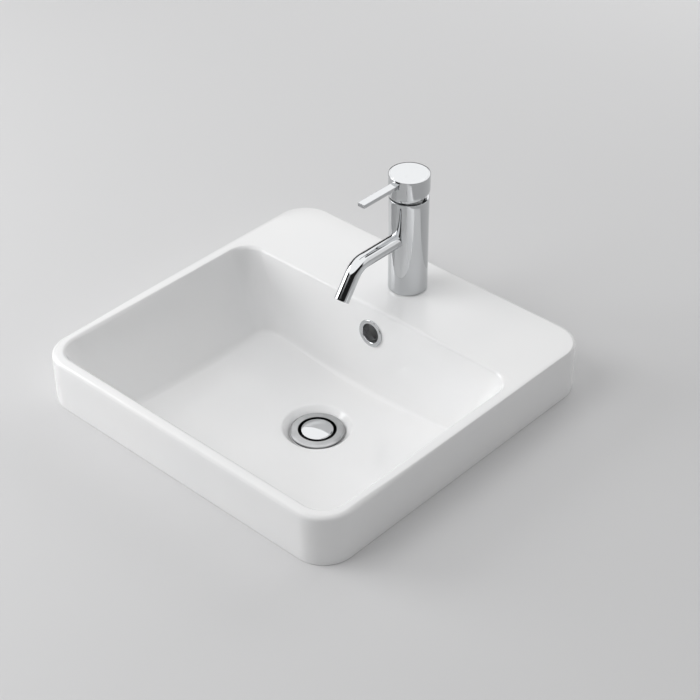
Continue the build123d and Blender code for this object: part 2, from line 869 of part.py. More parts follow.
moving_z = disc_z + fixed_disc_height + lapped_gap
with BuildPart() as moving_disc:
    with BuildSketch(level(moving_z, tap_y + moving_disc_setback)):
        Circle(moving_disc_radius)
    extrude(amount=moving_disc_height)
    with BuildSketch(level(moving_z, tap_y + pocket_setback)):
        Circle(pocket_radius)
    extrude(amount=moving_disc_height / 2, mode=Mode.SUBTRACT)
moving_disc.part.label = "moving_disc"
export_step(moving_disc.part, "parts/moving_disc.step")

# Disc carrier: the moving disc's driver, with the socket for the spindle's ball
carrier_z = moving_z + moving_disc_height
with BuildPart() as disc_carrier:
    with BuildSketch(level(carrier_z, tap_y + moving_disc_setback)):
        Circle(moving_disc_radius)
    extrude(amount=carrier_height)
    with BuildSketch(level(ball_z - ball_radius - free_gap, tap_y)):
        Circle(ball_radius + socket_gap)
    extrude(amount=carrier_height + ball_radius, mode=Mode.SUBTRACT)
disc_carrier.part.label = "disc_carrier"
export_step(disc_carrier.part, "parts/disc_carrier.step")

# Cartridge housing: skirt round the discs, shoulder for the nut, neck for the rotor
housing_low = base_foot_height - cartridge_bore_depth
shoulder_low = rotor_foot_top + running_gap - body_top_z
shoulder_high = shoulder_top_z - body_top_z
with BuildPart() as cartridge_housing:
    revolve(
        profile(
            tap_section,
            (housing_radius - housing_wall, housing_low),
            (housing_radius, housing_low),
            (housing_radius, shoulder_high),
            (neck_radius, shoulder_high),
            (neck_radius, -neck_drop),
            (rotor_radius + running_gap, -neck_drop),
            (rotor_radius + running_gap, shoulder_low),
            (housing_radius - housing_wall, shoulder_low),
        ),
        axis=tap_axis,
    )
cartridge_housing.part.label = "cartridge_housing"
export_step(cartridge_housing.part, "parts/cartridge_housing.step")

# Rotor: turns in the housing's neck and carries the pivot pin of the spindle
with BuildPart() as cartridge_rotor:
    with BuildSketch(level(rotor_foot_z, tap_y)):
        Circle(housing_radius - housing_wall - free_gap)
    extrude(amount=rotor_foot_height)
    with BuildSketch(level(rotor_foot_z, tap_y)):
        Circle(rotor_radius)
    extrude(amount=rotor_top_z - rotor_foot_z)
    with BuildSketch(level(rotor_foot_z, tap_y)):
        Rectangle(spindle_side + 2 * slot_gap, rotor_slot_length)
    extrude(amount=rotor_top_z - rotor_foot_z, mode=Mode.SUBTRACT)
    with BuildSketch(pivot_plane):
        Circle(pin_radius)
    extrude(amount=2 * rotor_radius, both=True, mode=Mode.SUBTRACT)
cartridge_rotor.part.label = "cartridge_rotor"
export_step(cartridge_rotor.part, "parts/cartridge_rotor.step")

with BuildPart() as pivot_pin:
    with BuildSketch(pivot_plane):
        Circle(pin_radius)
    extrude(amount=rotor_radius - pin_recess, both=True)
pivot_pin.part.label = "pivot_pin"
export_step(pivot_pin.part, "parts/pivot_pin.step")

# Spindle: square above the pivot, round below it, with a ball at the foot
with BuildPart() as cartridge_spindle:
    with BuildSketch(level(pivot_z - spindle_side / 2 - 1, tap_y)):
        RectangleRounded(spindle_side, spindle_side, 0.8)
    extrude(amount=spindle_rise + spindle_side / 2 + 1)
    with BuildSketch(level(ball_z, tap_y)):
        Circle(ball_neck_radius)
    extrude(amount=ball_drop - spindle_side / 2)
    with Locations((0, tap_y, ball_z)):
        Sphere(ball_radius)
    with BuildSketch(pivot_plane):
        Circle(pin_radius + running_gap)
    extrude(amount=spindle_side, both=True, mode=Mode.SUBTRACT)
cartridge_spindle.part.label = "cartridge_spindle"
export_step(cartridge_spindle.part, "parts/cartridge_spindle.step")

# Retaining nut: screws into the body and holds the cartridge down
with BuildPart() as retaining_nut:
    with BuildSketch(level(nut_low_z, tap_y)):
        Circle(nut_thread_radius - thread_gap)
    extrude(amount=body_top_z - nut_low_z)
    with BuildSketch(level(body_top_z, tap_y)):
        RegularPolygon(nut_collar_across / 2, 6, major_radius=False)
    extrude(amount=nut_collar_height)
    with BuildSketch(level(nut_low_z, tap_y)):
        Circle(neck_radius + free_gap)
    extrude(amount=body_height, mode=Mode.SUBTRACT)
retaining_nut.part.label = "retaining_nut"
export_step(retaining_nut.part, "parts/retaining_nut.step")

# Handle shell: a tube whose lower edge is cut on the slant, so that it can tilt back
with BuildPart() as handle_shell:
    with BuildSketch(level(body_top_z, tap_y)):
        Circle(cap_radius)
        Circle(cap_radius - cap_wall, mode=Mode.SUBTRACT)
    extrude(amount=cap_rise)
    with BuildSketch(level(lid_low_z - ledge_height, tap_y)):
        Circle(cap_radius - cap_wall)
        Circle(cap_radius - cap_wall - ledge_width, mode=Mode.SUBTRACT)
    extrude(amount=ledge_height)
    with BuildSketch(side_section):
        with BuildLine():
            Polyline(
                (tap_y - cap_radius, body_top_z),
                (tap_y + cap_radius, body_top_z),
                (tap_y + cap_radius, body_top_z + cap_gap_back),
                (tap_y - cap_radius, body_top_z + cap_gap_front),
                close=True,
            )
        make_face()
    extrude(amount=2 * cap_radius, both=True, mode=Mode.SUBTRACT)
    slot_low_z = blade_low_z - blade_slot_gap
    with BuildSketch(Plane((0, tap_y, slot_low_z), x_dir=(1, 0, 0), z_dir=(0, -1, 0))):
        Rectangle(
            blade_width + 2 * blade_slot_gap,
            cap_top_z - slot_low_z,
            align=(Align.CENTER, Align.MIN),
        )
    extrude(amount=2 * cap_radius, mode=Mode.SUBTRACT)
    with BuildSketch(grub_plane):
        Circle(grub_radius + free_gap)
    extrude(amount=2 * cap_radius, mode=Mode.SUBTRACT)
handle_shell.part.label = "handle_shell"
export_step(handle_shell.part, "parts/handle_shell.step")

# Lever: the lid, the flat blade and the hub that fits over the spindle, in one piece
with BuildPart() as lever_blade:
    blade_middle_z = blade_low_z + blade_height / 2
    with BuildSketch(Plane((0, tap_y, blade_middle_z), x_dir=(1, 0, 0), z_dir=(0, -1, 0))):
        RectangleRounded(blade_width, blade_height, blade_edge)
    extrude(amount=blade_reach)
    fillet(lever_blade.faces().sort_by(Axis.Y)[0].edges(), blade_edge / 2)
    with BuildSketch(level(lid_low_z, tap_y)):
        Circle(cap_radius - cap_wall - seat_gap)
    extrude(amount=lid_height)
    with BuildSketch(level(hub_low_z, tap_y)):
        Circle(hub_radius)
    extrude(amount=hub_depth)
    with BuildSketch(level(hub_low_z, tap_y)):
        Rectangle(spindle_side + 2 * running_gap, spindle_side + 2 * running_gap)
    extrude(amount=pivot_z + spindle_rise + seat_gap - hub_low_z, mode=Mode.SUBTRACT)
    with BuildSketch(grub_plane):
        Circle(grub_radius + thread_gap)
    extrude(amount=hub_radius + grub_length, mode=Mode.SUBTRACT)
lever_blade.part.label = "lever_blade"
export_step(lever_blade.part, "parts/lever_blade.step")

with BuildPart() as grub_screw:
    with BuildSketch(grub_plane.offset(spindle_side / 2 + running_gap)):
        Circle(grub_radius)
    extrude(amount=grub_length)
    with BuildSketch(grub_plane.offset(spindle_side / 2 + running_gap + grub_length / 2)):
        RegularPolygon(grub_key / 2, 6, major_radius=False)
    extrude(amount=grub_length / 2, mode=Mode.SUBTRACT)
grub_screw.part.label = "grub_screw"
export_step(grub_screw.part, "parts/grub_screw.step")

# Base gasket: an o-ring in the groove under the body
with BuildPart() as base_gasket:
    gasket_plane = Plane(
        (0, tap_y, rim_height + gasket_section / 2), x_dir=(1, 0, 0), z_dir=(0, -1, 0)
    )
    revolve(o_ring_section(gasket_plane, gasket_ring_radius, gasket_section), axis=tap_axis)
base_gasket.part.label = "base_gasket"
export_step(base_gasket.part, "parts/base_gasket.step")


def horseshoe(z, height):
    """A plate with an open slot to the front for the inlets and a hole for the stud."""
    with BuildPart() as plate:
        with BuildSketch(level(z, tap_y)):
            Circle(clamp_radius)
            with Locations((0, clamp_slot_setback)):
                Rectangle(
                    clamp_slot, 2 * clamp_radius, align=(Align.CENTER, Align.MAX), mode=Mode.SUBTRACT
                )
            with Locations((0, stud_setback)):
                Circle(stud_radius + free_gap, mode=Mode.SUBTRACT)
        extrude(amount=height)
    return plate.part


# Fixings under the deck: rubber washer, steel horseshoe plate, stud and nut
with BuildPart() as deck_washer:
    add(horseshoe(deck_underside - deck_washer_height, deck_washer_height))
deck_washer.part.label = "deck_washer"
export_step(deck_washer.part, "parts/deck_washer.step")

clamp_z = deck_underside - deck_washer_height - clamp_plate_height
with BuildPart() as clamp_plate:
    add(horseshoe(clamp_z, clamp_plate_height))
clamp_plate.part.label = "clamp_plate"
export_step(clamp_plate.part, "parts/clamp_plate.step")

with BuildPart() as fixing_stud:
    with BuildSketch(level(spigot_bottom_z + stud_grip, tap_y + stud_setback)):
        Circle(stud_radius)
    extrude(amount=-stud_length)
    chamfer(fixing_stud.faces().sort_by(Axis.Z)[0].edges(), 0.8)
fixing_stud.part.label = "fixing_stud"
export_step(fixing_stud.part, "parts/fixing_stud.step")

with BuildPart() as fixing_nut:
    with BuildSketch(level(clamp_z - fixing_nut_height, tap_y + stud_setback)):
        RegularPolygon(fixing_nut_across / 2, 6, major_radius=False)
        Circle(stud_radius + thread_gap, mode=Mode.SUBTRACT)
    extrude(amount=fixing_nut_height)
fixing_nut.part.label = "fixing_nut"
export_step(fixing_nut.part, "parts/fixing_nut.step")
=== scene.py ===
"""Dresses the inset basin: glazed china, a chromed mixer tap, a pop-up waste and an overflow ring."""

import json
import math

import bmesh
import bpy
import numpy as np
from mathutils import Matrix, Vector


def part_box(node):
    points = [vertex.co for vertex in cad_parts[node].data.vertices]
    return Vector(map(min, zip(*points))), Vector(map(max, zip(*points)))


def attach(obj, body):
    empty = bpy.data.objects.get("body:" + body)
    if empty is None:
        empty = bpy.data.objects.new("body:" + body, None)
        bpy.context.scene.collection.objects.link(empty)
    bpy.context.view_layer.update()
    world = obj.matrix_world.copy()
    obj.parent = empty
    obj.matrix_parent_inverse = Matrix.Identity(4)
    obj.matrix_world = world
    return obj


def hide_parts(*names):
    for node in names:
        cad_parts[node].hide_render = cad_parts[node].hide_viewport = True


bl_info = {
    "name": "Inset basin with mixer tap",
    "version": (1, 0, 0),
    "blender": (4, 5, 0),
    "location": "View3D > Sidebar > Basin",
    "description": "Builds the visible surfaces, finishes and studio of an inset wash basin",
    "category": "Object",
}

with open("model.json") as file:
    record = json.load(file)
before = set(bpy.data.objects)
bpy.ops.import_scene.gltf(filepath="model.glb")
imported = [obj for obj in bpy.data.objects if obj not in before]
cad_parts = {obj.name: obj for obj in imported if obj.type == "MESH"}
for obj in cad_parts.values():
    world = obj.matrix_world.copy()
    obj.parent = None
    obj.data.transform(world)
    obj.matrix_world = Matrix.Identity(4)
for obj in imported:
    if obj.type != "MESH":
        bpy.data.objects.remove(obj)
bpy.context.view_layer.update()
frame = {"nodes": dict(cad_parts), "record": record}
BASIN_LOW, BASIN_HIGH = (Vector(corner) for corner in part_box("basin"))
BODY_LOW, BODY_HIGH = (Vector(corner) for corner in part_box("tap_body"))
SHELL_LOW, SHELL_HIGH = (Vector(corner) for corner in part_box("handle_shell"))
BLADE_LOW = Vector(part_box("lever_blade")[0])
SPOUT_HIGH = Vector(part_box("spout")[1])
WASTE_LOW, WASTE_HIGH = (Vector(corner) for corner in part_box("waste_body"))
PLUG_LOW, PLUG_HIGH = (Vector(corner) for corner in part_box("plug_cap"))
WASTE_AXIS = np.array(((WASTE_LOW + WASTE_HIGH) / 2)[:2])
TAP_AXIS = np.array(((BODY_LOW + BODY_HIGH) / 2)[:2])

MM = 0.001
CORNER_STEPS = 20
SIDE_STEPS = 28
TURN_STEPS = 96
FINE_TURN_STEPS = 160
MERGE_DISTANCE = 1e-6
PLAIN_KNOT = (0, 1, 1)
SMOOTH_ANGLE = math.radians(32)
MIX_SOCKETS = {"FLOAT": (2, 3, 0), "RGBA": (6, 7, 2)}

# What only reflections show of the room: (upward part of the direction, brightness) from the
# horizon up, then panels as (direction, outer and inner half angle in degrees, brightness).
REFLECTED_WALLS = ((0.03, 0.25), (0.07, 0.012), (0.465, 0.012), (0.50, 1.0))
REFLECTED_PANELS = (((0.76, 0.60, 0.25), 22, 16, 0.75), ((0.276, 0.59, 0.757), 9, 6, 0.02))

# Each lamp's name, bearing and height in degrees, the property with its power, and whether it is mirrored.
LAMPS = (
    ("key_lamp", 240, 20, "key", True),
    ("front_lamp", 210, 50, "front", False),
    ("back_lamp", 0, 20, "back", False),
    ("side_lamp", 330, 20, "side", False),
    ("rim_lamp", 60, 20, "rim_lamp", False),
)

# Nodes that are brass in the record, shown with the nickel plate that such fittings have.
PLATED = ("retaining_nut", "cartridge_spindle")


# Sizes and finishes


def length(millimetres, description):
    """A length property: written here in millimetres, kept in metres."""
    return bpy.props.FloatProperty(
        description=description, default=millimetres * MM, min=0.0, subtype="DISTANCE", unit="LENGTH"
    )


def turn_angle(default, description):
    """An angle property, shown in degrees."""
    return bpy.props.FloatProperty(
        description=description, default=default, subtype="ANGLE", unit="ROTATION"
    )


def colour(default, description):
    """A scene-linear colour property."""
    return bpy.props.FloatVectorProperty(
        description=description, default=default, size=3, min=0.0, max=1.0, subtype="COLOR"
    )


def share(default, description, high=1.0):
    """A plain number property."""
    return bpy.props.FloatProperty(description=description, default=default, min=0.0, max=high)


def named(group):
    """Names each property of a group after its attribute."""
    for attribute, entry in group.__annotations__.items():
        entry.keywords["name"] = attribute.replace("_", " ").capitalize()
    return group


@named
class BasinSizes(bpy.types.PropertyGroup):
    """Sizes of the china that the frame's boxes don't give."""

    corner: length(38, "Radius of the basin's outer corners in plan")
    rim: length(13, "Width of the rim at the front and sides")
    rim_roll: length(6, "Radius of the rim's outer edge")
    lip_roll: length(5, "Radius of the rim's inner edge")
    deck: length(119, "Depth of the tap deck behind the bowl")
    deck_wall: length(12, "Thickness of the deck")
    apron_wall: length(13, "Thickness of the apron")
    bowl_wall: length(10, "Thickness of the bowl")
    wall_drop: length(106, "Depth of the bowl's walls")
    side_batter: length(41, "How far the side walls lean in")
    front_batter: length(40, "How far the front wall leans in")
    back_batter: length(8, "How far the back wall leans in")
    bowl_corner: length(28, "Radius of the bowl's upright corners")
    foot_roll: length(12, "Radius between the walls and the floor")
    floor_fall: length(13, "Fall of the floor from the side walls to the waste")
    recess: length(41, "Radius of the soft recess round the waste")
    recess_drop: length(9, "Depth of the recess at the waste's seat")
    seat: length(33.5, "Radius of the seat under the waste's flange")
    hole: length(23.5, "Radius of the waste hole")
    hole_flare: length(4, "Flare of the waste hole's mouth")
    boss: length(37, "Radius of the boss under the waste")
    boss_length: length(40, "Length of the boss under the seat")
    overflow_drop: length(35, "Depth of the overflow hole's centre")
    overflow_hole: length(13.5, "Radius of the overflow hole")
    ring: length(17, "Outer radius of the overflow ring")
    ring_bore: length(11.8, "Inner radius of the overflow ring")
    ring_height: length(2, "Height of the overflow ring over the wall")
    ring_sleeve: length(9, "Length of the overflow ring's sleeve")
    channel: length(32, "Width of the overflow channel")
    channel_gap: length(15, "Depth of the overflow channel")
    channel_wall: length(8, "Thickness of the channel's cover")
    channel_head: length(19, "Depth of the channel's top under the deck")
    channel_reach: length(20, "Drop of the channel's floor under the waste's seat")


@named
class TapSizes(bpy.types.PropertyGroup):
    """Sizes of the tap and waste that the frame's boxes don't give."""

    hole: length(17.5, "Radius of the tap hole")
    spigot: length(16.8, "Radius of the body's spigot in the hole")
    spigot_length: length(5, "Length of the body's spigot")
    body_edge: length(0.5, "Radius of the body's edges")
    cavity: length(17.6, "Radius of the cartridge's bore")
    cavity_depth: length(34, "Depth of the cartridge's bore")
    thread: length(20, "Radius of the retaining nut's thread")
    thread_depth: length(10, "Depth of the retaining nut's thread")
    inlet: length(4.5, "Radius of the hose inlets")
    inlet_spacing: length(16, "Distance between the hose inlets")
    inlet_advance: length(2, "How far the inlets lie in front of the body's centre")
    inlet_depth: length(12, "Depth of the hose inlets")
    stud: length(3, "Radius of the fixing stud")
    stud_setback: length(12.5, "Place of the stud behind the body's centre")
    spout: length(8.9, "Radius of the spout's tube")
    spout_wall: length(1.3, "Thickness of the spout's tube")
    spout_lip: length(0.45, "Radius of the spout's end edges")
    spout_height: length(72, "Height of the spout's axis over the deck")
    spout_reach: length(113, "Reach of the spout's end from the body's centre")
    spout_drop: length(36, "Drop of the spout's end")
    spout_angle: turn_angle(math.radians(55), "How steeply the spout's end falls")
    spout_bend: length(22, "Radius of the spout's bend")
    cap_wall: length(2, "Thickness of the lever cap's shell")
    cap_gap: length(3.1, "Gap under the lever cap at the front")
    cap_gap_back: length(11.9, "Gap under the lever cap at the back")
    cap_edge: length(0.6, "Radius of the lever cap's edges")
    lid_height: length(4, "Thickness of the lid that carries the lever")
    lid_gap: length(0.03, "Joint between the lid and the cap's shell")
    blade_width: length(9.6, "Width of the lever's blade")
    blade_height: length(4.8, "Thickness of the lever's blade")
    blade_edge: length(0.35, "Radius of the blade's edges")
    slot_gap: length(0.9, "Gap on each side of the blade in the cap")
    slot_drop: length(1.3, "Gap under the blade in the cap")
    hub: length(8, "Radius of the hub under the lid")
    hub_depth: length(17, "Length of the hub under the lid")
    spindle: length(7, "Width across the spindle's flats")
    plug: length(18.8, "Radius of the plug's cap")
    plug_crown: length(2.2, "Rise of the plug's dome")
    plug_edge: length(2.4, "Height of the plug's rim")
    plug_roll: length(1.1, "Radius of the plug's upper edge")
    plug_boss: length(6, "Radius of the plug's boss")
    plug_grip: length(3, "Width and height of the seal's seat under the cap")


@named
class Finishes(bpy.types.PropertyGroup):
    """Colours and strengths of the finishes."""

    glaze: colour((0.90, 0.90, 0.90), "Colour of the white glaze")
    glaze_deep: colour((0.885, 0.888, 0.892), "Colour where the glaze pools")
    chrome: colour((0.56, 0.57, 0.58), "Colour of the bright chrome")
    chrome_edge: colour((0.66, 0.67, 0.68), "Colour of the chrome's outer edges")
    dull_chrome: colour((0.44, 0.445, 0.45), "Colour of the water-dulled chrome")
    # Painted shade: the well colour draws the deep ring round the plug near black, where it lies in shade.
    well: colour((0.012, 0.012, 0.013), "Colour of the painted shade in the ring round the plug")
    nickel: colour((0.50, 0.505, 0.51), "Colour of the dull plate under the lever cap")
    brass: colour((0.72, 0.55, 0.28), "Colour of the machined brass")
    brass_worn: colour((0.42, 0.31, 0.15), "Colour of the tarnish")
    steel: colour((0.58, 0.58, 0.57), "Colour of the zinc plate")
    steel_worn: colour((0.42, 0.42, 0.40), "Colour of the dulled plate")
    steel_edge: colour((0.74, 0.74, 0.73), "Colour of the plate's outer edges")
    rubber: colour((0.028, 0.028, 0.030), "Colour of the seals")
    acetal: colour((0.80, 0.80, 0.77), "Colour of the white plastic")
    nylon: colour((0.16, 0.165, 0.17), "Colour of the grey plastic")
    alumina: colour((0.86, 0.84, 0.80), "Colour of the ceramic discs")
    water_marks: share(0.35, "Strength of the dried drops on the chrome")


@named
class Studio(bpy.types.PropertyGroup):
    """The floor, the lamps and the camera."""

    azimuth: turn_angle(math.radians(42.88), "Direction the camera looks in plan")
    elevation: turn_angle(math.radians(36.35), "Height of the camera over the horizon")
    roll: turn_angle(math.radians(-0.33), "Roll of the camera")
    distance: length(2043.66, "Distance from the camera to what it looks at")
    target: bpy.props.FloatVectorProperty(
        description="The point that the camera looks at",
        default=(6.49 * MM, 51.47 * MM, 30 * MM),
        size=3,
        subtype="XYZ",
        unit="LENGTH",
    )
    lens: share(91.97, "Focal length in millimetres on a 36 mm sensor", 400)
    floor: colour((0.68, 0.68, 0.685), "Colour of the floor")
    floor_size: length(12000, "Side of the floor")
    key: share(29.3, "Power of the low lamp at the left front, in watts", 1000)
    front: share(15.3, "Power of the high lamp at the front, in watts", 1000)
    back: share(11.5, "Power of the low lamp behind, in watts", 1000)
    side: share(5.9, "Power of the low lamp at the back left, in watts", 1000)
    rim_lamp: share(4.2, "Power of the low lamp at the back right, in watts", 1000)
    lamp_size: length(1300, "Side of each square lamp")
    lamp_distance: length(2400, "Distance of each lamp from the basin")
    room: share(0.15, "Brightness of the room all round", 10)
    ceiling: share(0.55, "Brightness that the ceiling adds overhead", 10)
    backdrop: share(0.58, "Brightness of the room behind the floor, as the camera sees it", 10)
    mirrored: share(1.5, "Brightness of the ceiling in reflections", 10)


# Shapes as grids


def outline(half, front, back, corner, height):
    """A rounded rectangle in plan, anticlockwise from its right-hand side, as (points, 3).

    Each corner is a quarter circle, centre + corner radius times (cos a, sin a), and each side
    runs straight from the end of one quarter to the start of the next.
    """
    centre_x = np.array([1, -1, -1, 1]) * (half - corner)
    centre_y = np.array([back - corner, back - corner, front + corner, front + corner])
    angle = np.arange(4)[:, None] * np.pi / 2 + np.linspace(0, np.pi / 2, CORNER_STEPS + 1)
    arc_x, arc_y = centre_x[:, None] + corner * np.cos(angle), centre_y[:, None] + corner * np.sin(angle)
    arc = np.stack([arc_x, arc_y], -1)
    run = np.linspace(0, 1, SIDE_STEPS + 1)[1:-1, None]
    side = arc[:, -1:] * (1 - run) + np.roll(arc[:, :1], -1, axis=0) * run
    plan = np.concatenate([arc, side], axis=1).reshape(-1, 2)
    return np.column_stack([plan, np.full(len(plan), height)])


def circle(centre, radius, height, steps=TURN_STEPS):
    """A level circle: centre + radius times (cos a, sin a), as (points, 3)."""
    angle = np.linspace(0, 2 * np.pi, steps, endpoint=False)
    return np.column_stack(
        [centre[0] + radius * np.cos(angle), centre[1] + radius * np.sin(angle), np.full(steps, height)]
    )


def circle_towards(guide, centre, radius, height):
    """A level circle whose points lie in the directions of a guide outline's points."""
    away = guide[:, :2] - centre
    plan = centre + radius * away / np.linalg.norm(away, axis=1, keepdims=True)
    return np.column_stack([plan, np.broadcast_to(height, len(plan))])


def unit(vectors):
    """Vectors scaled to a length of one, and left at nothing where they have none."""
    size = np.linalg.norm(vectors, axis=-1, keepdims=True)
    return vectors / np.maximum(size, 1e-12)


def rolled(before, knot, after, radius, steps):
    """The arc that rounds the corner at each point of a ring.

    It touches both runs at radius / tan(half the angle between them), or at 0.45 of the
    shorter run where that is less, and turns evenly from one touching point to the other.
    """
    back, ahead = before - knot, after - knot
    room = 0.45 * np.minimum(np.linalg.norm(back, axis=1), np.linalg.norm(ahead, axis=1))
    back, ahead = unit(back), unit(ahead)
    half = np.arccos(np.clip((back * ahead).sum(1), -1, 1)) / 2
    reach = np.minimum(radius / np.maximum(np.tan(half), 1e-6), room)
    centre = knot + unit(back + ahead) * (reach / np.maximum(np.cos(half), 1e-6))[:, None]
    start, end = knot + back * reach[:, None] - centre, knot + ahead * reach[:, None] - centre
    turn = np.maximum(np.pi - 2 * half, 1e-6)
    part = np.linspace(0, 1, steps + 1)[:, None]
    first, last = np.sin((1 - part) * turn) / np.sin(turn), np.sin(part * turn) / np.sin(turn)
    return centre + first[..., None] * start + last[..., None] * end


def profile_grid(knots, closed=False):
    """A grid of rings that follows a profile with rounded corners.

    knots is a list of (ring, radius, steps, rows): the corner's ring of points, its roll, the
    arc's steps, and the rows that the run to the next knot is cut into. A knot that stops
    after its ring is a plain corner.
    """
    knots = [(*knot, *PLAIN_KNOT[len(knot) - 1 :]) for knot in knots]
    rows = []
    count = len(knots)
    for index, (ring, radius, steps, _) in enumerate(knots):
        inner = closed or 0 < index < count - 1
        if radius > 0 and inner:
            before, after = knots[index - 1][0], knots[(index + 1) % count][0]
            rows.append(rolled(before, ring, after, radius, steps))
        else:
            rows.append(ring[None])
    grid = []
    for index, arc in enumerate(rows):
        grid.append(arc)
        cuts = knots[index][3]
        if cuts > 1 and (closed or index < count - 1):
            part = np.linspace(0, 1, cuts + 1)[1:-1, None, None]
            grid.append(arc[-1] * (1 - part) + rows[(index + 1) % count][0] * part)
    return np.concatenate(grid)


def linked(name, data):
    """An object for a mesh, lamp or camera, in the scene."""
    holder = bpy.data.objects.new(name, data)
    bpy.context.collection.objects.link(holder)
    return holder


def smooth(mesh):
    """Shades a mesh smooth, apart from its hard edges."""
    mesh.shade_smooth()
    mesh.set_sharp_from_angle(angle=SMOOTH_ANGLE)


def discard(pieces):
    """Removes pieces and their meshes."""
    for piece in pieces:
        shape = piece.data
        bpy.data.objects.remove(piece)
        bpy.data.meshes.remove(shape)


def grid_object(name, grid, closed_rows=False):
    """A closed mesh from a (rows, columns, 3) grid whose columns run round and join.

    Each cell is a quad. Rows that shrink to a point are merged into a pole, and the faces
    are turned outwards.
    """
    rows, columns = grid.shape[:2]
    index = np.arange(rows * columns).reshape(rows, columns)
    upper = np.roll(index, -1, axis=0)
    if not closed_rows:
        index, upper = index[:-1], upper[:-1]
    quads = np.stack([index, np.roll(index, -1, axis=1), np.roll(upper, -1, axis=1), upper], axis=-1)
    mesh = bpy.data.meshes.new(name)
    mesh.from_pydata(grid.reshape(-1, 3), [], quads.reshape(-1, 4))
    clean(mesh)
    return linked(name, mesh)


def clean(mesh):
    """Merges doubles, drops empty faces, turns faces outwards and shades smooth over soft angles."""
    work = bmesh.new()
    work.from_mesh(mesh)
    bmesh.ops.remove_doubles(work, verts=work.verts, dist=MERGE_DISTANCE)
    bmesh.ops.dissolve_degenerate(work, edges=work.edges, dist=MERGE_DISTANCE)
    bmesh.ops.recalc_face_normals(work, faces=work.faces)
    work.to_mesh(mesh)
    work.free()
    smooth(mesh)


def turned(name, centre, points, steps=TURN_STEPS, closed=False):
    """A piece turned about an upright axis.

    points is a list of (radius, height, roll, arc steps, rows), where a point may stop short
    of the last three, and each becomes a level circle about the axis.
    """
    knots = [(circle(centre, radius, height, steps), *rest) for radius, height, *rest in points]
    return grid_object(name, profile_grid(knots, closed), closed)


def box_object(name, low, high):
    """A plain closed box, used only to cut others."""
    plan = np.array([[low[0], low[1]], [high[0], low[1]], [high[0], high[1]], [low[0], high[1]]])
    return prism_object(name, plan, low[2], high[2])


def prism_object(name, plan, low, high):
    """An upright prism over a plan outline, closed at both ends."""
    count = len(plan)
    bottom = np.column_stack([plan, np.full(count, low)])
    top = np.column_stack([plan, np.full(count, high)])
    around = np.arange(count)
    sides = np.stack([around, np.roll(around, -1), np.roll(around, -1) + count, around + count], -1)
    mesh = bpy.data.meshes.new(name)
    faces = [*sides.tolist(), around[::-1].tolist(), (around + count).tolist()]
    mesh.from_pydata(np.concatenate([bottom, top]), [], faces)
    clean(mesh)
    return linked(name, mesh)


def stand_in(piece, matrix):
    """Moves a mesh's vertices by a matrix, and keeps its object at the origin."""
    piece.data.transform(matrix)
    return piece


def combine(piece, others, operation):
    """Joins or cuts a piece with others exactly, and removes them."""
    for other in others:
        step = piece.modifiers.new("cut", "BOOLEAN")
        step.operation = operation
        step.solver = "EXACT"
        step.object = other
    depsgraph = bpy.context.evaluated_depsgraph_get()
    mesh = bpy.data.meshes.new_from_object(piece.evaluated_get(depsgraph))
    old = piece.data
    piece.modifiers.clear()
    piece.data = mesh
    mesh.name = piece.name
    bpy.data.meshes.remove(old)
    discard(others)
    smooth(mesh)
    return piece


def join(piece, others):
    """Makes closed shells one mesh, each left as it is."""
    work = bmesh.new()
    for part in [piece, *others]:
        work.from_mesh(part.data)
    work.to_mesh(piece.data)
    work.free()
    discard(others)
    smooth(piece.data)
    return piece


# Finishes


class Nodes:
    """A short hand for building a node tree."""

    def __init__(self, tree):
        self.tree = tree

    def add(self, kind, values=None, **settings):
        """Adds a node, sets its plain settings and fills or links its inputs, by name or by place."""
        node = self.tree.nodes.new(kind if kind.startswith("NodeGroup") else "ShaderNode" + kind)
        for key, value in settings.items():
            setattr(node, key, value)
        for key, value in (values or {}).items():
            self.put(node.inputs[key], value)
        return node

    def put(self, socket, value):
        """Links a socket to another one, or sets its value."""
        if isinstance(value, bpy.types.NodeSocket):
            self.tree.links.new(value, socket)
        elif socket.type == "RGBA" and len(value) == 3:
            socket.default_value = (*value, 1.0)
        else:
            socket.default_value = value

    def place(self):
        """The place on the piece, in metres."""
        return self.add("TexCoord").outputs["Object"]

    def noise(self, scale, detail, **values):
        """A cloud from nothing to one."""
        values.update({"Vector": self.place(), "Scale": scale, "Detail": detail})
        return self.add("TexNoise", values).outputs["Fac"]

    def spread(self, value, low, high, to_low=0.0, to_high=1.0, **settings):
        """Stretches what lies between two values to another range, and holds it there."""
        values = {"Value": value, "From Min": low, "From Max": high, "To Min": to_low, "To Max": to_high}
        return self.add("MapRange", values, **settings).outputs["Result"]

    def maths(self, operation, first, second):
        """One sum of two numbers."""
        return self.add("Math", {0: first, 1: second}, operation=operation).outputs[0]

    def mix(self, factor, first, second, kind="RGBA"):
        """Blends two colours, or two numbers where the kind is FLOAT."""
        first_socket, second_socket, result = MIX_SOCKETS[kind]
        values = {"Factor": factor, first_socket: first, second_socket: second}
        return self.add("Mix", values, data_type=kind).outputs[result]

    def pattern(self, name, values):
        """Places a shared group's node, and builds the group the first time."""
        tree = bpy.data.node_groups.get(name) or PATTERNS[name]()
        node = self.tree.nodes.new("ShaderNodeGroup")
        node.node_tree = tree
        for key, value in values.items():
            self.put(node.inputs[key], value)
        return node.outputs


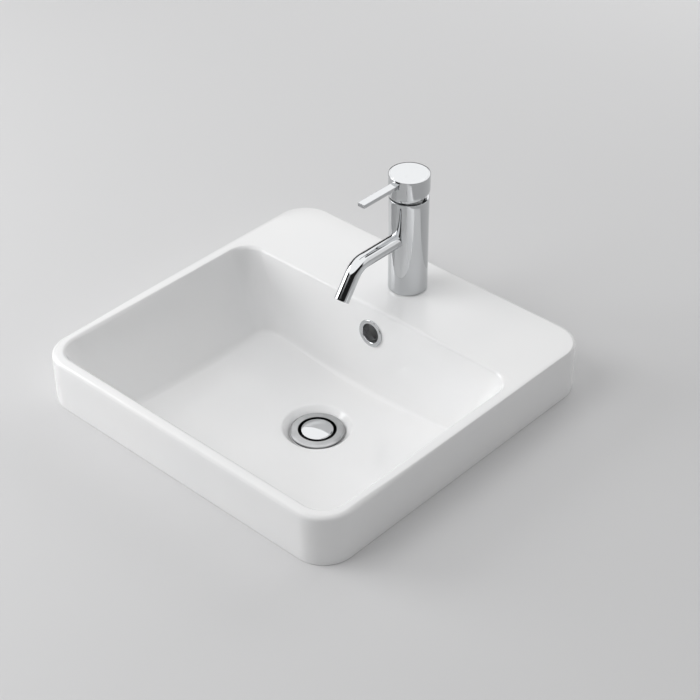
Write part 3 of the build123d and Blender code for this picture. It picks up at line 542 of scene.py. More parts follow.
def new_group(name, inputs, outputs):
    """An empty shader node group: a hand for it, what it is given and what it gives back.

    An input's kind follows its default: a number, a Vector, or a colour of three parts.
    """
    tree = bpy.data.node_groups.new(name, "ShaderNodeTree")
    for label, default in inputs.items():
        kind = "Float" if isinstance(default, float) else "Vector" if isinstance(default, Vector) else "Color"
        socket = tree.interface.new_socket(name=label, in_out="INPUT", socket_type="NodeSocket" + kind)
        socket.default_value = (*default, 1.0) if kind == "Color" else default
    for label in outputs:
        kind = "Color" if label == "Colour" else "Float"
        tree.interface.new_socket(name=label, in_out="OUTPUT", socket_type="NodeSocket" + kind)
    nodes = Nodes(tree)
    return nodes, nodes.add("NodeGroupInput").outputs, nodes.add("NodeGroupOutput").inputs


def mottle_group():
    """Soft cloudy change between two colours, with the same cloud as a mask."""
    inputs = {"Colour": (0.8, 0.8, 0.8), "Second colour": (0.7, 0.7, 0.7), "Scale": 20.0, "Detail": 3.0}
    nodes, given, result = new_group("Mottle", inputs, ["Colour", "Mask"])
    mask = nodes.spread(nodes.noise(given["Scale"], given["Detail"], Roughness=0.55), 0.35, 0.65)
    nodes.put(result["Colour"], nodes.mix(mask, given["Colour"], given["Second colour"]))
    nodes.put(result["Mask"], mask)
    return nodes.tree


def drops_group():
    """Dried water drops: round rims of a cell pattern, kept only where a cloud allows them."""
    inputs = {"Scale": 220.0, "Strength": 0.3, "Roughness": 0.05, "Marked roughness": 0.25}
    nodes, given, result = new_group("Water marks", inputs, ["Roughness", "Mask"])
    values = {"Vector": nodes.place(), "Scale": given["Scale"], "Randomness": 1.0}
    cells = nodes.add("TexVoronoi", values, feature="F1").outputs["Distance"]
    rim = nodes.spread(cells, 0.34, 0.20, interpolation_type="SMOOTHSTEP")
    where = nodes.spread(nodes.noise(38.0, 2.0), 0.52, 0.70)
    mask = nodes.maths("MULTIPLY", nodes.maths("MULTIPLY", rim, where), given["Strength"])
    rough = nodes.spread(mask, 0.0, 1.0, given["Roughness"], given["Marked roughness"])
    nodes.put(result["Roughness"], rough)
    nodes.put(result["Mask"], mask)
    return nodes.tree


def waves_group():
    """A shallow, slow unevenness of a surface, as a height."""
    inputs = {"Scale": 8.0, "Fine scale": 60.0, "Fine share": 0.2}
    nodes, given, result = new_group("Waves", inputs, ["Height"])
    slow, fine = nodes.noise(given["Scale"], 1.0), nodes.noise(given["Fine scale"], 2.0)
    nodes.put(result["Height"], nodes.mix(given["Fine share"], slow, fine, "FLOAT"))
    return nodes.tree


def turning_group():
    """Fine rings left by a lathe, about an upright axis, as a height."""
    nodes, given, result = new_group("Tool rings", {"Pitch": 1200.0}, ["Height"])
    values = {"Vector": nodes.place(), "Scale": given["Pitch"], "Distortion": 1.5, "Detail": 1.0}
    rings = nodes.add("TexWave", values, wave_type="BANDS", bands_direction="Z")
    nodes.put(result["Height"], rings.outputs["Fac"])
    return nodes.tree


def edge_group():
    """Brightens outer edges, from the curvature that the surface shows."""
    inputs = {"Colour": (0.5, 0.5, 0.5), "Edge colour": (0.7, 0.7, 0.7), "Amount": 0.4}
    nodes, given, result = new_group("Edge wear", inputs, ["Colour", "Mask"])
    edge = nodes.spread(nodes.add("NewGeometry").outputs["Pointiness"], 0.52, 0.60)
    broken = nodes.maths("MULTIPLY", edge, nodes.noise(160.0, 3.0))
    mask = nodes.maths("MULTIPLY", broken, given["Amount"])
    nodes.put(result["Colour"], nodes.mix(mask, given["Colour"], given["Edge colour"]))
    nodes.put(result["Mask"], mask)
    return nodes.tree


def painted_well_shade_group():
    """Paints shade: darkens what lies inside an upright cylinder between two heights, where a deep ring lies
    in shade.
    """
    inputs = {
        "Colour": (0.5, 0.5, 0.5),
        "Well colour": (0.01, 0.01, 0.01),
        "Centre": Vector((0.0, 0.0, 0.0)),
        "Radius": 0.02,
        "Top": 0.0,
        "Bottom": -0.1,
    }
    nodes, given, result = new_group("Grime in a well", inputs, ["Colour", "Mask"])
    place = nodes.place()
    away = nodes.add("VectorMath", {0: place, 1: given["Centre"]}, operation="SUBTRACT").outputs[0]
    level = nodes.add("VectorMath", {0: away, 1: (1.0, 1.0, 0.0)}, operation="MULTIPLY").outputs[0]
    out = nodes.add("VectorMath", {0: level}, operation="LENGTH").outputs["Value"]
    height = nodes.add("SeparateXYZ", {"Vector": place}).outputs["Z"]
    inside = nodes.maths("LESS_THAN", out, given["Radius"])
    under = nodes.maths("LESS_THAN", height, given["Top"])
    over = nodes.maths("GREATER_THAN", height, given["Bottom"])
    # The mask marks the painted shade: inside the radius and between the two heights.
    mask = nodes.maths("MULTIPLY", inside, nodes.maths("MULTIPLY", under, over))
    nodes.put(result["Colour"], nodes.mix(mask, given["Colour"], given["Well colour"]))
    nodes.put(result["Mask"], mask)
    return nodes.tree


PATTERNS = {
    "Mottle": mottle_group,
    "Water marks": drops_group,
    "Waves": waves_group,
    "Tool rings": turning_group,
    "Edge wear": edge_group,
    "Grime in a well": painted_well_shade_group,
}


def blank_material(name):
    """A material with a hand for its tree, and its shader."""
    material = bpy.data.materials.new(name)
    material.use_nodes = True
    return material, Nodes(material.node_tree), material.node_tree.nodes["Principled BSDF"]


def clouded(nodes, main, second, scale, detail):
    """The sockets of a soft cloudy mix of two colours."""
    values = {"Colour": main, "Second colour": second, "Scale": scale, "Detail": detail}
    return nodes.pattern("Mottle", values)


def marked(nodes, shader, scale, strength, clear, rough):
    """Feeds the shader's roughness with dried drops."""
    values = {"Scale": scale, "Strength": strength, "Roughness": clear, "Marked roughness": rough}
    nodes.put(shader.inputs["Roughness"], nodes.pattern("Water marks", values)["Roughness"])


def waved(nodes, scale, fine_scale, fine_share):
    """The height of a shallow unevenness."""
    values = {"Scale": scale, "Fine scale": fine_scale, "Fine share": fine_share}
    return nodes.pattern("Waves", values)["Height"]


def bump(nodes, shader, height, strength, distance):
    """Feeds a height to the shader's normal."""
    node = nodes.add("Bump", {"Height": height, "Strength": strength, "Distance": distance})
    nodes.put(shader.inputs["Normal"], node.outputs["Normal"])


def tinted(colour_value, part):
    """A colour scaled by a share."""
    return [channel * part for channel in colour_value]


def glaze_material(finish):
    """White vitreous glaze: glossy, very slightly uneven, a touch cooler where it pools."""
    material, nodes, shader = blank_material("white_glaze")
    cloud = clouded(nodes, finish.glaze, finish.glaze_deep, 9.0, 2.0)
    nodes.put(shader.inputs["Base Color"], cloud["Colour"])
    marked(nodes, shader, 70.0, 0.10, 0.14, 0.30)
    bump(nodes, shader, waved(nodes, 7.0, 90.0, 0.06), 0.10, 0.004)
    shader.inputs["IOR"].default_value = 1.52
    return material


def metal_material(name, main, marks, cloud=None, edge=None, well=None, rings=None, waves=None):
    """Plated or bare metal, from what is given of a cloud, worn edges, painted shade in a well, drops, and
    rings or waves.

    marks is (scale, strength, clear roughness, marked roughness), cloud (second colour, scale,
    detail), edge (colour, amount), well the painted shade group's values, rings (pitch, bump strength)
    and waves (scale, fine scale, fine share, bump strength, bump distance).
    """
    material, nodes, shader = blank_material(name)
    colour_now = main
    if cloud:
        colour_now = clouded(nodes, main, *cloud)["Colour"]
    # Painted shade: the well group darkens the deep ring round the plug.
    if well:
        colour_now = nodes.pattern("Grime in a well", {"Colour": colour_now, **well})["Colour"]
    if edge:
        values = {"Colour": colour_now, "Edge colour": edge[0], "Amount": edge[1]}
        colour_now = nodes.pattern("Edge wear", values)["Colour"]
    nodes.put(shader.inputs["Base Color"], colour_now)
    marked(nodes, shader, *marks)
    if rings:
        bump(nodes, shader, nodes.pattern("Tool rings", {"Pitch": rings[0]})["Height"], rings[1], 0.0002)
    if waves:
        bump(nodes, shader, waved(nodes, *waves[:3]), *waves[3:])
    shader.inputs["Metallic"].default_value = 1.0
    return material


def steel_material(finish, name, pitch):
    """Zinc plated or drawn steel with a dulled bloom."""
    cloud = (finish.steel_worn, 95.0, 5.0)
    edge = (finish.steel_edge, 0.8)
    return metal_material(name, finish.steel, (240.0, 0.5, 0.30, 0.50), cloud, edge, rings=(pitch, 0.12))


def moulded_material(name, main, second_share, roughness, scale, bump_strength=0.12):
    """Moulded rubber, plastic or sintered ceramic: a fine cloudy surface with no shine of metal."""
    material, nodes, shader = blank_material(name)
    cloud = clouded(nodes, main, tinted(main, second_share), scale, 4.0)
    nodes.put(shader.inputs["Base Color"], cloud["Colour"])
    rough = nodes.spread(cloud["Mask"], 0.0, 1.0, roughness * 0.85, roughness * 1.15)
    nodes.put(shader.inputs["Roughness"], rough)
    bump(nodes, shader, waved(nodes, scale, scale * 9, 0.6), bump_strength, 0.0004)
    return material


def painted_ring_shade():
    """Where painted shade darkens the waste's mouth: the deep ring round the plug, drawn near black."""
    return {
        "Well colour": bpy.context.scene.basin_finishes.well,
        "Centre": (*WASTE_AXIS, 0.0),
        "Radius": (PLUG_HIGH.x - PLUG_LOW.x) / 2 + 4 * MM,
        "Top": WASTE_HIGH.z - 0.6 * MM,
        "Bottom": WASTE_HIGH.z - 25 * MM,
    }


def make_finish(slot):
    """Builds the material that stands for one of the record's slots."""
    finish = bpy.context.scene.basin_finishes
    waves = (30.0, 240.0, 0.1, 0.04, 0.0006)
    bright = (260.0, finish.water_marks, 0.045, 0.20)
    dull = (tinted(finish.dull_chrome, 0.92), 120.0, 4.0)
    tarnish = (finish.brass_worn, 70.0, 4.0)
    bloom = (tinted(finish.nickel, 0.7), 90.0, 3.0)
    makers = {
        "china": lambda: glaze_material(finish),
        "chrome": lambda: metal_material(
            "bright_chrome", finish.chrome, bright, edge=(finish.chrome_edge, 0.5), waves=waves
        ),
        # The dulled chrome carries painted shade in the deep ring round the plug.
        "dull_chrome": lambda: metal_material(
            "dulled_chrome", finish.dull_chrome, (320.0, 0.8, 0.30, 0.48), dull, well=painted_ring_shade()
        ),
        "brass": lambda: metal_material(
            "machined_brass", finish.brass, (180.0, 0.6, 0.26, 0.45), tarnish, rings=(420.0, 0.15)
        ),
        "nickel": lambda: metal_material(
            "nickel_plate", finish.nickel, (260.0, 0.4, 0.08, 0.24), bloom, rings=(420.0, 0.08)
        ),
        "steel": lambda: steel_material(finish, "zinc_plate", 500.0),
        "spring_steel": lambda: steel_material(finish, "drawn_wire", 900.0),
        "black_rubber": lambda: moulded_material("seal_rubber", finish.rubber, 2.67, 0.55, 60.0),
        "white_plastic": lambda: moulded_material("white_acetal", finish.acetal, 0.93, 0.38, 45.0),
        "grey_plastic": lambda: moulded_material("grey_nylon", finish.nylon, 0.8, 0.45, 55.0),
        "alumina": lambda: moulded_material("lapped_alumina", finish.alumina, 0.95, 0.18, 80.0, 0.03),
    }
    return makers[slot]()


MATERIALS = {}


def finish_of(slot):
    """A slot's material, made when it is first asked for."""
    if slot not in MATERIALS:
        MATERIALS[slot] = make_finish(slot)
    return MATERIALS[slot]


def dress(piece, body, slot, *nodes):
    """Gives a finished piece its slot's material and its body, and hides the nodes that it stands for."""
    piece.data.materials.clear()
    piece.data.materials.append(finish_of(slot))
    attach(piece, body)
    if nodes:
        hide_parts(*nodes)
    return piece


# Places shared by the pieces


def seat_height(sizes):
    """The height of the seat under the waste's flange."""
    return BASIN_HIGH.z - sizes.wall_drop - sizes.floor_fall - sizes.recess_drop


def overflow_matrix(sizes):
    """The overflow ring's place: Z runs out of the back wall, Y up it."""
    lean = math.atan2(sizes.back_batter, sizes.wall_drop)
    bowl_back = BASIN_HIGH.y - sizes.deck
    wall_y = bowl_back - sizes.back_batter * sizes.overflow_drop / sizes.wall_drop
    place = Vector((0, wall_y, BASIN_HIGH.z - sizes.overflow_drop))
    return Matrix.Translation(place) @ Matrix.Rotation(math.radians(90) - lean, 4, "X")


# Pieces


def bowl_outline(sizes, drop, grow, height=None):
    """The bowl's outline at a depth: each side moves in by its batter times the share of the wall's drop."""
    part = drop / sizes.wall_drop
    half = BASIN_HIGH.x - sizes.rim - sizes.side_batter * part + grow
    front = BASIN_LOW.y + sizes.rim + sizes.front_batter * part - grow
    back = BASIN_HIGH.y - sizes.deck - sizes.back_batter * part + grow
    level = BASIN_HIGH.z - drop if height is None else height
    return outline(half, front, back, sizes.bowl_corner + grow, level)


def floor_height(sizes, ring, grow):
    """A cone that falls to the waste: the height over the recess's edge is slope times distance out."""
    edge_z = BASIN_HIGH.z - sizes.wall_drop - sizes.floor_fall - grow
    slope = sizes.floor_fall / (BASIN_HIGH.x - sizes.rim - sizes.side_batter - sizes.recess)
    out = np.linalg.norm(ring[:, :2] - WASTE_AXIS, axis=1)
    return edge_z + slope * (out - sizes.recess - grow)


def bowl_foot(sizes, grow):
    """The line where the battered walls meet the coned floor, found by three steps down the wall."""
    top = bowl_outline(sizes, 0.0, grow)
    base = bowl_outline(sizes, sizes.wall_drop, grow)
    part = np.ones(len(top))
    for _ in range(3):
        foot = top + (base - top) * part[:, None]
        part = (floor_height(sizes, foot, grow) - top[:, 2]) / (base[:, 2] - top[:, 2])
    return top + (base - top) * part[:, None]


def china_surface(sizes):
    """The whole basin as one profile, from the waste hole's lower end round to the hole again.

    Every knot is a ring of matching points: circles round the waste, then rounded rectangles
    for the underside, the apron, the rim and the bowl, and circles again for the recess.
    """
    top, deck_under = BASIN_HIGH.z, BASIN_HIGH.z - sizes.deck_wall
    foot, under_foot = bowl_foot(sizes, 0.0), bowl_foot(sizes, sizes.bowl_wall)
    seat_z = seat_height(sizes)
    boss_z = seat_z - sizes.boss_length

    def round_waste(radius, height):
        return circle_towards(foot, WASTE_AXIS, radius, height)

    def apron(inset, height):
        corner = sizes.corner - inset
        return outline(BASIN_HIGH.x - inset, BASIN_LOW.y + inset, BASIN_HIGH.y - inset, corner, height)

    inner_apron = apron(sizes.apron_wall, 0.0)
    crest = bowl_outline(sizes, sizes.deck_wall, sizes.bowl_wall)
    limit = np.array([BASIN_HIGH.x, -BASIN_LOW.y]) - sizes.apron_wall
    past = np.stack([np.abs(crest[:, 0]) - limit[0], -crest[:, 1] - limit[1]], -1)
    run = np.stack([np.abs(crest[:, 0]) - np.abs(under_foot[:, 0]), under_foot[:, 1] - crest[:, 1]], -1)
    back_off = np.clip((past / np.where(run > 1e-6, run, np.inf)).max(1), 0, 1)[:, None]
    crest = crest + (under_foot - crest) * back_off
    inner_top = np.column_stack([inner_apron[:, :2], crest[:, 2]])
    under_low = round_waste(sizes.boss, 0.0)
    under_low[:, 2] = floor_height(sizes, under_low, sizes.bowl_wall) - 2 * MM
    return [
        (round_waste(sizes.hole, boss_z), 1 * MM, 3, 1),
        (round_waste(sizes.boss, boss_z), 2 * MM, 4, 4),
        (under_low, 4 * MM, 5, 12),
        (under_foot, sizes.foot_roll, 8, 6),
        (crest, 0, 1, 3),
        (inner_top, 0, 1, 6),
        (inner_apron, 1.5 * MM, 4, 1),
        (apron(0.0, 0.0), 1.2 * MM, 4, 8),
        (apron(0.0, top), sizes.rim_roll, 12, 3),
        (bowl_outline(sizes, 0.0, 0.0), sizes.lip_roll, 12, 10),
        (foot, sizes.foot_roll, 14, 24),
        (round_waste(sizes.recess, floor_height(sizes, round_waste(sizes.recess, 0.0), 0.0)), 5 * MM, 8, 3),
        (round_waste(sizes.seat, seat_z + 1 * MM), 1.5 * MM, 5, 1),
        (round_waste(sizes.seat - 1 * MM, seat_z),),
        (round_waste(sizes.hole + sizes.hole_flare, seat_z), 2 * MM, 4, 1),
        (round_waste(sizes.hole, seat_z - 1.5 * sizes.hole_flare), 2 * MM, 4, 6),
    ]


class BASIN_OT_china(bpy.types.Operator):
    """Build the glazed basin: bowl, rim, deck, apron, overflow rib, and the holes in them"""

    bl_idname = "basin.china"
    bl_label = "China basin"

    def execute(self, context):
        sizes, tap = context.scene.basin_sizes, context.scene.basin_tap
        basin = grid_object("glazed_basin", profile_grid(china_surface(sizes), closed=True), closed_rows=True)
        top = BASIN_HIGH.z
        bowl_back = BASIN_HIGH.y - sizes.deck
        seat_z = seat_height(sizes)
        channel_back = bowl_back + sizes.bowl_wall + sizes.channel_gap
        channel_low = seat_z - sizes.channel_reach
        middle = WASTE_AXIS[1]

        def channel_prism(name, grow, front, step_y, step_z, high):
            """A prism across X over an L in the YZ plane: along under the floor and up behind the bowl."""
            back, low = channel_back + grow, channel_low - grow
            cut = sizes.channel_gap + grow
            under = [[front, low], [back - cut, low], [back, low + cut], [back, high]]
            plan = np.array([*under, [step_y, high], [step_y, step_z], [front, step_z]])
            half_width = sizes.channel / 2 + grow
            piece = prism_object(name, plan, -half_width, half_width)
            return stand_in(piece, Matrix(((0, 0, 1, 0), (1, 0, 0, 0), (0, 1, 0, 0), (0, 0, 0, 1))))

        rib = channel_prism(
            "rib",
            sizes.channel_wall,
            middle + sizes.boss - 1.5 * MM,
            bowl_back + 1 * MM,
            seat_z + 2 * MM,
            top - sizes.deck_wall + 1 * MM,
        )
        combine(basin, [rib], "UNION")
        channel = channel_prism(
            "channel",
            0.0,
            middle + sizes.hole - 4 * MM,
            bowl_back + sizes.bowl_wall / 2,
            seat_z - 7 * MM,
            top - sizes.channel_head,
        )
        mouth = turned(
            "mouth",
            (0, 0),
            [(0, -14 * MM), (sizes.overflow_hole, -14 * MM), (sizes.overflow_hole, 6 * MM), (0, 6 * MM)],
        )
        stand_in(mouth, overflow_matrix(sizes))
        centre = TAP_AXIS
        hole = turned(
            "hole",
            centre,
            [(0, top - 30 * MM), (tap.hole, top - 30 * MM), (tap.hole, top + 5 * MM), (0, top + 5 * MM)],
        )
        combine(basin, [channel, mouth, hole], "DIFFERENCE")
        dress(basin, "basin_unit", "china", "basin")
        return {"FINISHED"}


class BASIN_OT_overflow_ring(bpy.types.Operator):
    """Build the chromed ring in the overflow hole"""

    bl_idname = "basin.overflow_ring"
    bl_label = "Overflow ring"

    def execute(self, context):
        sizes = context.scene.basin_sizes
        sleeve = sizes.overflow_hole - 0.1 * MM
        ring = turned(
            "overflow_trim",
            (0, 0),
            [
                (sizes.ring_bore, -sizes.ring_sleeve, 0.3 * MM, 2, 4),
                (sleeve, -sizes.ring_sleeve, 0.3 * MM, 2, 1),
                (sleeve, 0.05 * MM),
                (sizes.ring, 0.05 * MM, 0.2 * MM, 2, 1),
                (sizes.ring, sizes.ring_height, 1.2 * MM, 8, 2),
                (sizes.ring_bore, sizes.ring_height, 1.4 * MM, 8, 4),
            ],
            FINE_TURN_STEPS,
            closed=True,
        )
        stand_in(ring, overflow_matrix(sizes))
        dress(ring, "basin_unit", "chrome", "overflow_ring")
        return {"FINISHED"}


class BASIN_OT_plug(bpy.types.Operator):
    """Build the domed plug"""

    bl_idname = "basin.plug"
    bl_label = "Plug"

    def execute(self, context):
        tap = context.scene.basin_tap
        crown = PLUG_HIGH.z
        rim = crown - tap.plug_crown
        crown_radius = (tap.plug**2 + tap.plug_crown**2) / (2 * tap.plug_crown)
        reach = np.linspace(0, tap.plug - 0.4 * MM, 14)
        dome = crown - crown_radius + np.sqrt(crown_radius**2 - reach**2)
        knots = list(zip(reach, dome))
        edge = rim - tap.plug_edge
        seat = edge - 1 * MM
        low = PLUG_LOW.z
        knots += [
            (tap.plug, rim - 0.1 * MM, tap.plug_roll, 6, 1),
            (tap.plug, edge, 0.4 * MM, 4, 1),
            (tap.plug_boss + tap.plug_grip, edge),
            (tap.plug_boss + tap.plug_grip, low + tap.plug_grip),
            (tap.plug_boss, low + tap.plug_grip),
            (tap.plug_boss, low, 0.3 * MM, 3, 1),
            (tap.plug_boss / 2 + 0.05 * MM, low),
            (tap.plug_boss / 2 + 0.05 * MM, seat),
            (0, seat),
        ]
        plug = turned("plug_dome", WASTE_AXIS, knots, FINE_TURN_STEPS)
        dress(plug, "plug", "chrome", "plug_cap")
        return {"FINISHED"}


class BASIN_OT_tap_body(bpy.types.Operator):
    """Build the tap's upright body with its bores"""

    bl_idname = "basin.tap_body"
    bl_label = "Tap body"

    def execute(self, context):
        tap = context.scene.basin_tap
        centre = TAP_AXIS
        radius = (BODY_HIGH.x - BODY_LOW.x) / 2
        foot = BODY_LOW.z + tap.spigot_length
        top = BODY_HIGH.z
        body = turned(
            "mixer_body",
            centre,
            [
                (0, BODY_LOW.z),
                (tap.spigot, BODY_LOW.z, 0.4 * MM, 3, 1),
                (tap.spigot, foot),
                (radius, foot, tap.body_edge, 5, 30),
                (radius, top, tap.body_edge, 5, 1),
                (tap.thread, top, 0.2 * MM, 3, 2),
                (tap.thread, top - tap.thread_depth),
                (tap.cavity, top - tap.thread_depth, 0, 1, 4),
                (tap.cavity, top - tap.cavity_depth),
                (0, top - tap.cavity_depth),
            ],
            FINE_TURN_STEPS,
        )
        drills = []
        for side in (-1, 1):
            place = centre + np.array([side * tap.inlet_spacing / 2, -tap.inlet_advance])
            drills.append((place, tap.inlet, tap.inlet_depth))
        drills.append((centre + np.array([0, tap.stud_setback]), tap.stud, tap.inlet_depth))
        cutters = []
        for index, (place, bore, depth) in enumerate(drills):
            low, high = BODY_LOW.z - 2 * MM, BODY_LOW.z + depth
            points = [(0, low), (bore, low), (bore, high), (0, high)]
            cutters.append(turned(f"drill_{index}", place, points, 32))
        combine(body, cutters, "DIFFERENCE")
        dress(body, "basin_unit", "chrome", "tap_body")
        return {"FINISHED"}


def bend_along_spout(points, tap, start_y):
    """Carries a straight tube along the spout's line.

    With s the distance along: forward = straight part + R sin a + tail cos(angle), and
    down = R (1 - cos a) + tail sin(angle), where a is how far the bend has turned at s.
    """
    angle, radius = tap.spout_angle, tap.spout_bend
    tangent = radius * math.tan(angle / 2)
    tail = tap.spout_drop / math.sin(angle) - tangent
    end_y = TAP_AXIS[1] - tap.spout_reach
    first = start_y - (end_y + (tail + tangent) * math.cos(angle)) - tangent
    along = points[..., 2]
    straight = np.minimum(along, first)
    turn = np.clip((along - first) / radius, 0, angle)
    rest = np.maximum(along - first - radius * angle, 0)
    forward = straight + radius * np.sin(turn) + rest * math.cos(angle)
    down = radius * (1 - np.cos(turn)) + rest * math.sin(angle)
    forward = forward + points[..., 1] * np.sin(turn)
    height = BASIN_HIGH.z + tap.spout_height - down + points[..., 1] * np.cos(turn)
    return np.stack([points[..., 0], start_y - forward, height], -1), first + radius * angle + tail


class BASIN_OT_spout(bpy.types.Operator):
    """Build the bent spout tube with its open end"""

    bl_idname = "basin.spout"
    bl_label = "Spout"

    def execute(self, context):
        tap = context.scene.basin_tap
        start_y = SPOUT_HIGH.y
        _, whole = bend_along_spout(np.zeros((1, 1, 3)), tap, start_y)
        bore = tap.spout - tap.spout_wall
        knots = [
            (circle((0, 0), bore, 0.0, TURN_STEPS),),
            (circle((0, 0), tap.spout, 0.0, TURN_STEPS), 0.2 * MM, 2, 90),
            (circle((0, 0), tap.spout, whole, TURN_STEPS), tap.spout_lip, 5, 1),
            (circle((0, 0), bore, whole, TURN_STEPS), tap.spout_lip, 5, 90),
        ]
        grid, _ = bend_along_spout(profile_grid(knots, closed=True), tap, start_y)
        spout = grid_object("spout_tube", grid, closed_rows=True)
        dress(spout, "basin_unit", "chrome", "spout")
        return {"FINISHED"}


class BASIN_OT_lever_cap(bpy.types.Operator):
    """Build the lever cap's shell with its slanted lower edge and the blade's slot"""

    bl_idname = "basin.lever_cap"
    bl_label = "Lever cap"

    def execute(self, context):
        tap = context.scene.basin_tap
        centre = TAP_AXIS
        radius = (SHELL_HIGH.x - SHELL_LOW.x) / 2
        top = SHELL_HIGH.z
        front, back = BODY_HIGH.z + tap.cap_gap, BODY_HIGH.z + tap.cap_gap_back

        def slanted(ring_radius):
            """A circle that rises evenly from the front gap to the back gap across the cap."""
            ring = circle(centre, ring_radius, 0.0, FINE_TURN_STEPS)
            part = (ring[:, 1] - centre[1] + radius) / (2 * radius)
            ring[:, 2] = front + (back - front) * part
            return ring

        inner = radius - tap.cap_wall
        knots = [
            (slanted(inner), 0.2 * MM, 2, 1),
            (slanted(radius), 0.3 * MM, 3, 8),
            (circle(centre, radius, top, FINE_TURN_STEPS), tap.cap_edge, 6, 1),
            (circle(centre, inner, top, FINE_TURN_STEPS), 0.05 * MM, 1, 8),
        ]
        shell = grid_object("lever_cap", profile_grid(knots, closed=True), closed_rows=True)
        half = tap.blade_width / 2 + tap.slot_gap
        lid_low = top - tap.lid_height
        slot_low = lid_low - tap.blade_height - tap.slot_drop
        slot = box_object("slot", (-half, centre[1] - radius - 5 * MM, slot_low), (half, centre[1], lid_low))
        combine(shell, [slot], "DIFFERENCE")
        dress(shell, "handle", "chrome", "handle_shell")
        return {"FINISHED"}


class BASIN_OT_lever(bpy.types.Operator):
    """Build the lid, its hub and the lever's blade"""

    bl_idname = "basin.lever"
    bl_label = "Lever"

    def execute(self, context):
        tap = context.scene.basin_tap
        centre = TAP_AXIS
        radius = (SHELL_HIGH.x - SHELL_LOW.x) / 2 - tap.cap_wall - tap.lid_gap
        top = SHELL_HIGH.z
        lid_low = top - tap.lid_height
        lid = turned(
            "lever",
            centre,
            [
                (0, top, 0, 1, 6),
                (radius, top, 0.05 * MM, 1, 1),
                (radius, lid_low, 0.2 * MM, 2, 2),
                (tap.hub, lid_low, 0.5 * MM, 3, 3),
                (tap.hub, lid_low - tap.hub_depth, 0.4 * MM, 3, 1),
                (0, lid_low - tap.hub_depth),
            ],
            FINE_TURN_STEPS,
        )
        half = tap.spindle / 2 + 0.05 * MM
        socket = box_object(
            "socket",
            (-half, centre[1] - half, lid_low - tap.hub_depth - 2 * MM),
            (half, centre[1] + half, lid_low - 2.9 * MM),
        )
        combine(lid, [socket], "DIFFERENCE")
        tip_y, root_y = BLADE_LOW.y, centre[1] - tap.hub + 1 * MM
        thick = tap.blade_height / 2

        def section(along, inset, shrink=0.0):
            """The blade's rounded section, across X and up Z, at a place along Y."""
            ring = outline(
                max(tap.blade_width / 2 - inset, shrink),
                -max(thick - inset, shrink),
                max(thick - inset, shrink),
                max(min(tap.blade_edge, thick - inset), 0.0),
                along,
            )
            return ring[:, [0, 2, 1]] + [0, 0, lid_low - thick]

        flat = section(root_y, 0.0)
        tip = section(tip_y, 0.0)
        knots = [
            (flat * [0, 1, 0] + [0, 0, lid_low - thick],),
            (flat, 0.2 * MM, 2, 8),
            (tip, tap.blade_edge, 5, 1),
            (tip * [0, 1, 0] + [0, 0, lid_low - thick],),
        ]
        blade = grid_object("blade", profile_grid(knots))
        join(lid, [blade])
        dress(lid, "handle", "chrome", "lever_blade")
        return {"FINISHED"}


class BASIN_OT_fittings(bpy.types.Operator):
    """Finish the seals, cartridge, waste and fixings that keep their modelled shape"""

    bl_idname = "basin.fittings"
    bl_label = "Fittings"

    def execute(self, context):
        slots = {entry["node"]: entry["material_slot"] for entry in frame["record"]["subparts"]}
        for name, node in frame["nodes"].items():
            node.data.materials.clear()
            node.data.materials.append(finish_of("nickel" if name in PLATED else slots[name]))
        return {"FINISHED"}


# Studio


def room_material(studio):
    """The room: a dim surround with a bright ceiling, and for reflections dark walls under that ceiling."""
    world = bpy.context.scene.world or bpy.data.worlds.new("room")
    bpy.context.scene.world = world
    world.use_nodes = True
    world.node_tree.nodes.clear()
    nodes = Nodes(world.node_tree)
    direction = nodes.add("TexCoord").outputs["Generated"]
    height = nodes.add("SeparateXYZ", {"Vector": direction}).outputs["Z"]
    ceiling = nodes.spread(height, 0.5, 0.9, studio.room, studio.room + studio.ceiling)
    ramp = nodes.add("ValToRGB", {"Fac": height})
    stops = ramp.color_ramp.elements
    stops.remove(stops[1])
    stops[0].position = REFLECTED_WALLS[0][0]
    for stop_height, _ in REFLECTED_WALLS[1:]:
        stops.new(stop_height)
    for stop, (_, level) in zip(stops, REFLECTED_WALLS):
        stop.color = (level, level, level, 1)
    reflected = ramp.outputs["Color"]
    for towards, wide, narrow, level in REFLECTED_PANELS:
        values = {0: direction, 1: Vector(towards).normalized()}
        turn = nodes.add("VectorMath", values, operation="DOT_PRODUCT").outputs["Value"]
        part = nodes.spread(turn, math.cos(math.radians(wide)), math.cos(math.radians(narrow)))
        reflected = nodes.mix(part, reflected, (level, level, level))
    path = nodes.add("LightPath").outputs
    even = nodes.add("Background", {"Color": (1.0, 1.0, 1.0), "Strength": ceiling}).outputs[0]
    mirrored = nodes.add("Background", {"Color": reflected, "Strength": studio.mirrored}).outputs[0]
    backdrop = nodes.add("Background", {"Color": (1.0, 1.0, 1.0), "Strength": studio.backdrop}).outputs[0]
    lit = nodes.add("MixShader", {"Fac": path["Is Glossy Ray"], 1: even, 2: mirrored}).outputs[0]
    seen = nodes.add("MixShader", {"Fac": path["Is Camera Ray"], 1: lit, 2: backdrop}).outputs[0]
    nodes.add("OutputWorld", {"Surface": seen})


def lamp(studio, name, bearing, height, power, mirrored):
    """A square soft lamp that faces the basin from a bearing, clockwise from the back, and a height.

    Only a mirrored lamp shows in the chrome and the glaze.
    """
    across, up = math.radians(bearing), math.radians(height)
    away = Vector((math.sin(across) * math.cos(up), math.cos(across) * math.cos(up), math.sin(up)))
    light = bpy.data.lights.new(name, "AREA")
    light.shape = "SQUARE"
    light.size = studio.lamp_size
    light.energy = power
    holder = linked(name, light)
    holder.location = away * studio.lamp_distance
    holder.rotation_euler = (-away).to_track_quat("-Z", "Y").to_euler()
    holder.visible_glossy = mirrored
    return holder


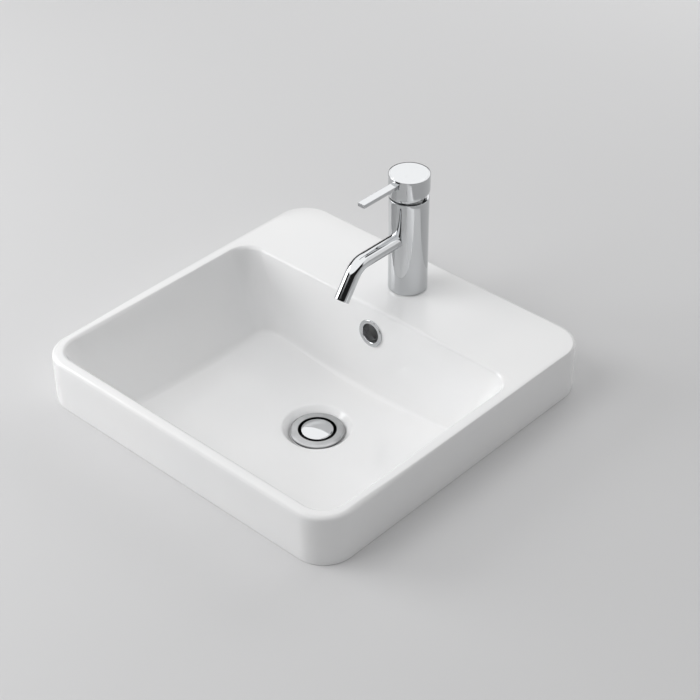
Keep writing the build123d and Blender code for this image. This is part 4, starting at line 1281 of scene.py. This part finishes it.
def counter_sheet(studio, sizes):
    """The floor: a wide level sheet at the basin's seat with a cut-out that the apron covers."""
    inset = 20 * MM
    half, front, back = BASIN_HIGH.x - inset, BASIN_LOW.y + inset, BASIN_HIGH.y - inset
    hole = outline(half, front, back, sizes.corner - inset / 2, 0.0)
    far = outline(studio.floor_size / 2, -studio.floor_size / 2, studio.floor_size / 2, 1.0, 0.0)
    mesh = bpy.data.meshes.new("floor")
    count = len(hole)
    around = np.arange(count)
    quads = np.stack([around, around + count, np.roll(around, -1) + count, np.roll(around, -1)], -1)
    mesh.from_pydata(np.concatenate([hole, far]), [], quads)
    floor = linked("floor", mesh)
    material, nodes, shader = blank_material("pale_floor")
    cloud = clouded(nodes, studio.floor, tinted(studio.floor, 0.995), 3.0, 3.0)
    nodes.put(shader.inputs["Base Color"], cloud["Colour"])
    shader.inputs["Roughness"].default_value = 0.75
    floor.data.materials.append(material)


class BASIN_OT_studio(bpy.types.Operator):
    """Build the floor, the lamps, the room and the camera"""

    bl_idname = "basin.studio"
    bl_label = "Studio"

    def execute(self, context):
        studio = context.scene.basin_studio
        counter_sheet(studio, context.scene.basin_sizes)
        room_material(studio)
        for name, bearing, height, power, mirrored in LAMPS:
            lamp(studio, name, bearing, height, getattr(studio, power), mirrored)
        camera = linked("camera", bpy.data.cameras.new("camera"))
        camera.data.lens = studio.lens
        camera.data.sensor_width = 36.0
        tilt = Matrix.Rotation(math.pi / 2 - studio.elevation, 4, "X")
        turn = Matrix.Rotation(studio.azimuth, 4, "Z") @ tilt
        turn = turn @ Matrix.Rotation(studio.roll, 4, "Z")
        away = turn @ Vector((0, 0, studio.distance))
        camera.matrix_world = Matrix.Translation(Vector(studio.target) + away) @ turn
        context.scene.camera = camera
        context.scene.view_settings.view_transform = "Standard"
        return {"FINISHED"}


class BASIN_PT_panel(bpy.types.Panel):
    """Lists the basin's pieces"""

    bl_idname = "BASIN_PT_panel"
    bl_label = "Inset basin"
    bl_space_type = "VIEW_3D"
    bl_region_type = "UI"
    bl_category = "Basin"

    def draw(self, context):
        for operator in OPERATORS:
            self.layout.operator(operator.bl_idname)
        for group in GROUPS:
            holder = getattr(context.scene, GROUPS[group])
            for name in group.__annotations__:
                self.layout.prop(holder, name)


OPERATORS = [
    BASIN_OT_china,
    BASIN_OT_overflow_ring,
    BASIN_OT_plug,
    BASIN_OT_tap_body,
    BASIN_OT_spout,
    BASIN_OT_lever_cap,
    BASIN_OT_lever,
    BASIN_OT_fittings,
    BASIN_OT_studio,
]
GROUPS = {
    BasinSizes: "basin_sizes",
    TapSizes: "basin_tap",
    Finishes: "basin_finishes",
    Studio: "basin_studio",
}


def register():
    """Registers the classes and puts the sizes on the scene."""
    for group, name in GROUPS.items():
        bpy.utils.register_class(group)
        setattr(bpy.types.Scene, name, bpy.props.PointerProperty(type=group))
    for entry in [*OPERATORS, BASIN_PT_panel]:
        bpy.utils.register_class(entry)


def unregister():
    """Takes the classes and the sizes away again."""
    for entry in [BASIN_PT_panel, *reversed(OPERATORS)]:
        bpy.utils.unregister_class(entry)
    for group, name in reversed(GROUPS.items()):
        delattr(bpy.types.Scene, name)
        bpy.utils.unregister_class(group)


def main():
    """Builds everything in order."""
    register()
    for operator in OPERATORS:
        kind, name = operator.bl_idname.split(".")
        getattr(getattr(bpy.ops, kind), name)()
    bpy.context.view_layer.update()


if __name__ == "__main__":
    main()
